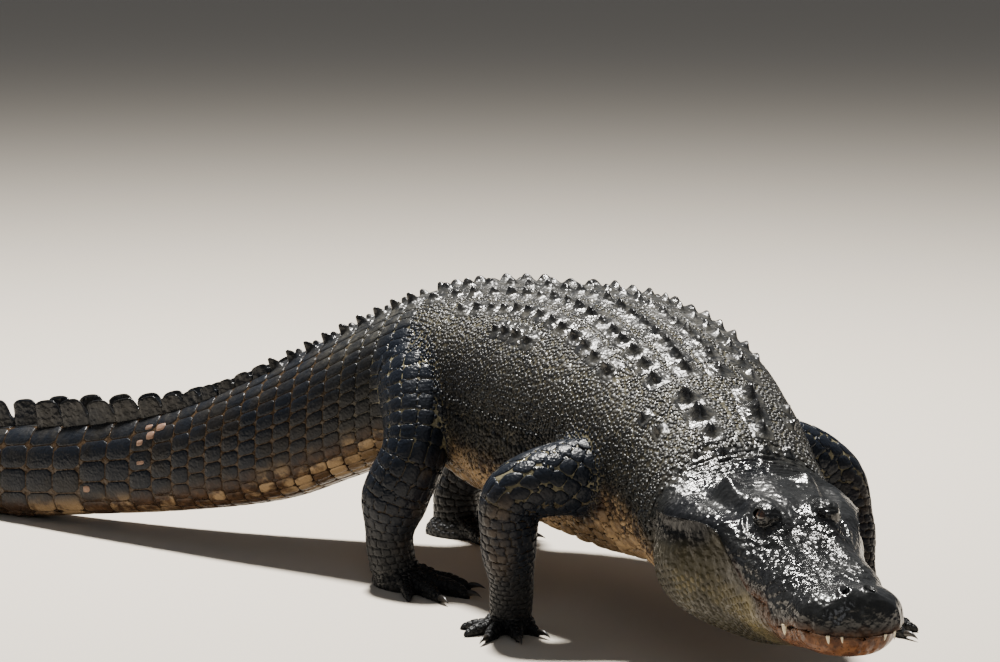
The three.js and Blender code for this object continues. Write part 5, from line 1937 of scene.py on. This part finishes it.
IRIS = (0.045, 0.018, 0.006)
IRIS_RIM = (0.010, 0.005, 0.003)
PUPIL = (0.003, 0.003, 0.003)
PUPIL_HALF_WIDTH = 0.08  # as a share of the eye's radius, with a soft edge
PUPIL_EDGE = 0.05


def eye_material():
    """Dark amber eye with an upright slit pupil"""
    material, nodes, links, shader = new_material("eye_amber")
    w = Wiring(material.node_tree, None)
    iris = w.ramp(w.attribute("iris"), IRIS, IRIS_RIM, 0.2, 0.7)
    pupil = nodes.new("ShaderNodeMapRange")
    pupil.inputs["From Min"].default_value = PUPIL_HALF_WIDTH
    pupil.inputs["From Max"].default_value = PUPIL_HALF_WIDTH + PUPIL_EDGE
    links.new(w.attribute("slit"), pupil.inputs["Value"])
    links.new(w.mix(PUPIL, iris, pupil.outputs["Result"]), shader.inputs["Base Color"])
    shader.inputs["Roughness"].default_value = 0.06
    shader.inputs["Coat Weight"].default_value = 1.0
    return material


def plain_material(name, low, high, scale, roughness):
    """Horn or tooth: a colour that varies with fine noise"""
    material, nodes, links, shader = new_material(name)
    coords = nodes.new("ShaderNodeTexCoord")
    w = Wiring(material.node_tree, coords.outputs["Object"])
    links.new(w.ramp(w.noise(scale, 2.0, 0.5), low, high, 0.35, 0.7), shader.inputs["Base Color"])
    shader.inputs["Roughness"].default_value = roughness
    return material


# Stage

CAMERA_GROUND = (3982.0, -4570.0)
CAMERA_HEIGHT = 1338.92
CAMERA_PITCH = 8.485
CAMERA_ROLL = 0.36
CAMERA_WAY = (-0.643, 0.766, 0.0)
FOCAL_PIXELS = 3298.79
PICTURE_WIDTH = 1000
SENSOR_WIDTH = 36.0
FLOOR_HALF = 30000
FLOOR_TONE = (0.55, 0.50, 0.43)
SKY_TONE = (0.92, 0.95, 1.0)
SKY_STRENGTH = 0.17
LAMPS = [  # name, place and target in metres, size, watts, colour
    ("key", (-1.2, 1.0, 6.0), (0.2, 0.0, 0.2), 0.75, 1700, (1.0, 0.97, 0.92)),
    ("fill", (4.5, -4.5, 3.0), (0.6, -0.2, 0.3), 3.0, 30, (0.95, 0.97, 1.0)),
]


def build_camera():
    """Camera at the viewing angle and distance of the model's pose"""
    scene = bpy.context.scene
    data = bpy.data.cameras.new("camera")
    data.sensor_fit = "HORIZONTAL"
    data.sensor_width = SENSOR_WIDTH
    data.lens = FOCAL_PIXELS / PICTURE_WIDTH * SENSOR_WIDTH
    data.clip_end = 60.0
    camera = bpy.data.objects.new("camera", data)
    scene.collection.objects.link(camera)
    pitch = math.radians(CAMERA_PITCH)
    flat = Vector(CAMERA_WAY).normalized()
    look = flat * math.cos(pitch) - Vector((0, 0, math.sin(pitch)))
    spot = np.array([*CAMERA_GROUND, CAMERA_HEIGHT]) + SHIFT
    camera.location = spot * MM
    camera.rotation_euler = look.to_track_quat("-Z", "Y").to_euler()
    camera.rotation_euler.rotate_axis("Z", math.radians(CAMERA_ROLL))
    scene.camera = camera


def build_lamp(name, spot, target, size, watts, colour):
    """Round area lamp that faces a point"""
    light = bpy.data.lights.new(name, "AREA")
    light.shape = "DISK"
    light.size = size
    light.energy = watts
    light.color = colour
    obj = bpy.data.objects.new(name, light)
    obj.location = spot
    obj.rotation_euler = (Vector(target) - Vector(spot)).to_track_quat("-Z", "Y").to_euler()
    bpy.context.scene.collection.objects.link(obj)


def build_stage():
    """Camera, pale floor, dim even sky, a key lamp above and behind, and a soft fill at the front"""
    build_camera()
    corners = [(-1, -1), (1, -1), (1, 1), (-1, 1)]
    floor = make_mesh(
        "floor", np.array([[x * FLOOR_HALF, y * FLOOR_HALF, 0] for x, y in corners]),
        [np.array([[0, 1, 2, 3]])],
    )
    material, _, _, shader = new_material("floor_pale")
    shader.inputs["Base Color"].default_value = (*FLOOR_TONE, 1)
    shader.inputs["Roughness"].default_value = 0.9
    floor.data.materials.append(material)
    world = bpy.data.worlds.new("studio")
    world.use_nodes = True
    background = world.node_tree.nodes["Background"]
    background.inputs["Color"].default_value = (*SKY_TONE, 1)
    background.inputs["Strength"].default_value = SKY_STRENGTH
    bpy.context.scene.world = world
    for lamp in LAMPS:
        build_lamp(*lamp)


# Add-on


class AlligatorSettings(bpy.types.PropertyGroup):
    """Depths, heights and the seed that the operators build with"""

    inset: bpy.props.FloatProperty(
        name="Skin inset", description="Depth of the skin below the tops of the scales",
        default=0.002, min=0.0005, max=0.005, precision=4, subtype="DISTANCE", unit="LENGTH",
    )
    groove: bpy.props.FloatProperty(
        name="Groove", description="Width of the bare skin between plates",
        default=0.0016, min=0.0005, max=0.006, precision=4, subtype="DISTANCE", unit="LENGTH",
    )
    keel: bpy.props.FloatProperty(
        name="Keel height", description="Height of the keels on the back",
        default=0.015, min=0.002, max=0.03, precision=4, subtype="DISTANCE", unit="LENGTH",
    )
    seed: bpy.props.IntProperty(
        name="Seed", description="Start of every random draw", default=SEED, min=0, subtype="UNSIGNED",
    )


BUILT = {}


class ALLIGATOR_OT_skin(bpy.types.Operator):
    """Builds the one skin of the head, trunk, limbs and tail"""

    bl_idname = "alligator.skin"
    bl_label = "Skin"

    def execute(self, context):
        settings = context.scene.alligator
        skin, surface = build_skin(settings.inset / MM)
        keep_inside(skin)
        BUILT["skin"], BUILT["surface"] = skin, surface
        points = vertices_of(skin)
        values = markings(points)
        s = locate(points)[0]
        values["rand"] = np.full(len(points), 0.4)
        for name in ("edge", "dark", "scar"):
            values[name] = np.zeros(len(points))
        values["groove"] = smooth((s - 250) / 150) * 0.85 * values["olive"]
        values["groove"] = np.maximum(values["groove"], smooth((s - 540) / 60))
        snout = smooth((s - 40) / 50) * smooth((330 - s) / 70)
        values["grain"] = 0.5 + 0.5 * np.maximum(snout, smooth((s - 470) / 60)) * (1 - values["olive"])
        set_attributes(skin, values)
        BUILT["tone"] = hide_tone_group()
        skin.data.materials.clear()
        skin.data.materials.append(hide_material("skin_hide", BUILT["tone"], 95.0, 4.0, seams=True))
        skin.data.polygons.foreach_set("material_index", np.zeros(len(skin.data.polygons), np.int32))
        nodes = [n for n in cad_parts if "claw" not in n and "eye" not in n]
        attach(skin, "root")
        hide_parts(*nodes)
        return {"FINISHED"}


class ALLIGATOR_OT_scales(bpy.types.Operator):
    """Lays the scales of the flanks, belly, limbs and tail over the skin"""

    bl_idname = "alligator.scales"
    bl_label = "Scales"

    def execute(self, context):
        settings = context.scene.alligator
        inset, groove, keel = settings.inset / MM, settings.groove / MM, settings.keel / MM
        rng = np.random.default_rng(settings.seed)
        if "skin" not in BUILT:
            raise RuntimeError("The skin has to be built before its scales")
        skin, surface = BUILT["skin"], BUILT["surface"]
        mesh = skin.data
        mesh.calc_loop_triangles()
        tri = np.empty(len(mesh.loop_triangles) * 3, np.int32)
        mesh.loop_triangles.foreach_get("vertices", tri)
        points = vertices_of(skin) * MM
        tree = BVHTree.FromPolygons(points.tolist(), tri.reshape(-1, 3).tolist())
        BUILT["tree"] = tree
        material = hide_material("scale_hide", BUILT["tone"], 200.0, 0.8, gloss_top=0.3, rougher=0.12)
        names = ("tail", "belly", "flank", "neck", "throat", "back", "limb", "small")
        sets = {name: Scales() for name in names}
        tail_scales(sets["tail"], surface, tree, rng, groove)
        belly_scales(sets["belly"], surface, tree, rng, groove)
        flank_scales(sets["flank"], surface, tree, rng)
        neck_scales(sets["neck"], surface, tree, rng)
        throat_scales(sets["throat"], surface, tree, rng)
        back_skin_scales(sets["back"], surface, tree, rng)
        limb_scales(sets["limb"], tree, rng, inset, groove)
        digit_scales(sets["limb"], tree, rng)
        scutes = Scales()
        back_scutes(scutes, surface, rng, keel)
        laid = [sets[name] for name in names[:-1]] + [scutes]
        fill_scales(sets["small"], skin, rng, laid)
        for name, scales in sets.items():
            obj = scales.build(name + "_scales", material)
            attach(obj, "root")
        crest_flaps(scutes, surface, rng)
        material = hide_material("scute_hide", BUILT["tone"], 110.0, 1.8, rougher=0.03)
        obj = scutes.build("scutes", material)
        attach(obj, "root")
        return {"FINISHED"}


class ALLIGATOR_OT_details(bpy.types.Operator):
    """Builds the eyes, the teeth that show and the claws"""

    bl_idname = "alligator.details"
    bl_label = "Eyes, teeth and claws"

    def execute(self, context):
        amber = eye_material()
        for sign, name in ((-1, "right_eye"), (1, "left_eye")):
            eye = eye_object(name + "ball", sign)
            eye.data.materials.append(amber)
            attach(eye, "root")
            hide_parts(name)
        teeth = teeth_object()
        teeth.name = "teeth"
        keep_inside(teeth)
        teeth.data.materials.append(plain_material("ivory", *IVORY, 120.0, 0.3))
        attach(teeth, "root")
        claws = claws_object()
        claws.name = "claws"
        claws.data.materials.append(plain_material("horn", *HORN, 90.0, 0.28))
        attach(claws, "root")
        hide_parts(*[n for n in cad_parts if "claw" in n])
        return {"FINISHED"}


class ALLIGATOR_OT_stage(bpy.types.Operator):
    """Sets the floor, the lights and the camera"""

    bl_idname = "alligator.stage"
    bl_label = "Stage"

    def execute(self, context):
        build_stage()
        return {"FINISHED"}


class ALLIGATOR_PT_panel(bpy.types.Panel):
    """Settings and build steps of the alligator"""

    bl_label = "American Alligator"
    bl_idname = "ALLIGATOR_PT_panel"
    bl_space_type = "VIEW_3D"
    bl_region_type = "UI"
    bl_category = "Alligator"

    def draw(self, context):
        settings = context.scene.alligator
        for name in ("inset", "groove", "keel", "seed"):
            self.layout.prop(settings, name)
        for name in ("skin", "scales", "details", "stage"):
            self.layout.operator("alligator." + name)


CLASSES = (
    AlligatorSettings, ALLIGATOR_OT_skin, ALLIGATOR_OT_scales, ALLIGATOR_OT_details,
    ALLIGATOR_OT_stage, ALLIGATOR_PT_panel,
)


def register():
    """Adds the classes and the settings to Blender"""
    for cls in CLASSES:
        bpy.utils.register_class(cls)
    bpy.types.Scene.alligator = bpy.props.PointerProperty(type=AlligatorSettings)


def unregister():
    """Takes the settings and the classes out again"""
    del bpy.types.Scene.alligator
    for cls in reversed(CLASSES):
        bpy.utils.unregister_class(cls)


def main():
    """Builds every piece in order"""
    register()
    bpy.ops.alligator.skin()
    bpy.ops.alligator.scales()
    bpy.ops.alligator.details()
    bpy.ops.alligator.stage()


if __name__ == "__main__":
    main()
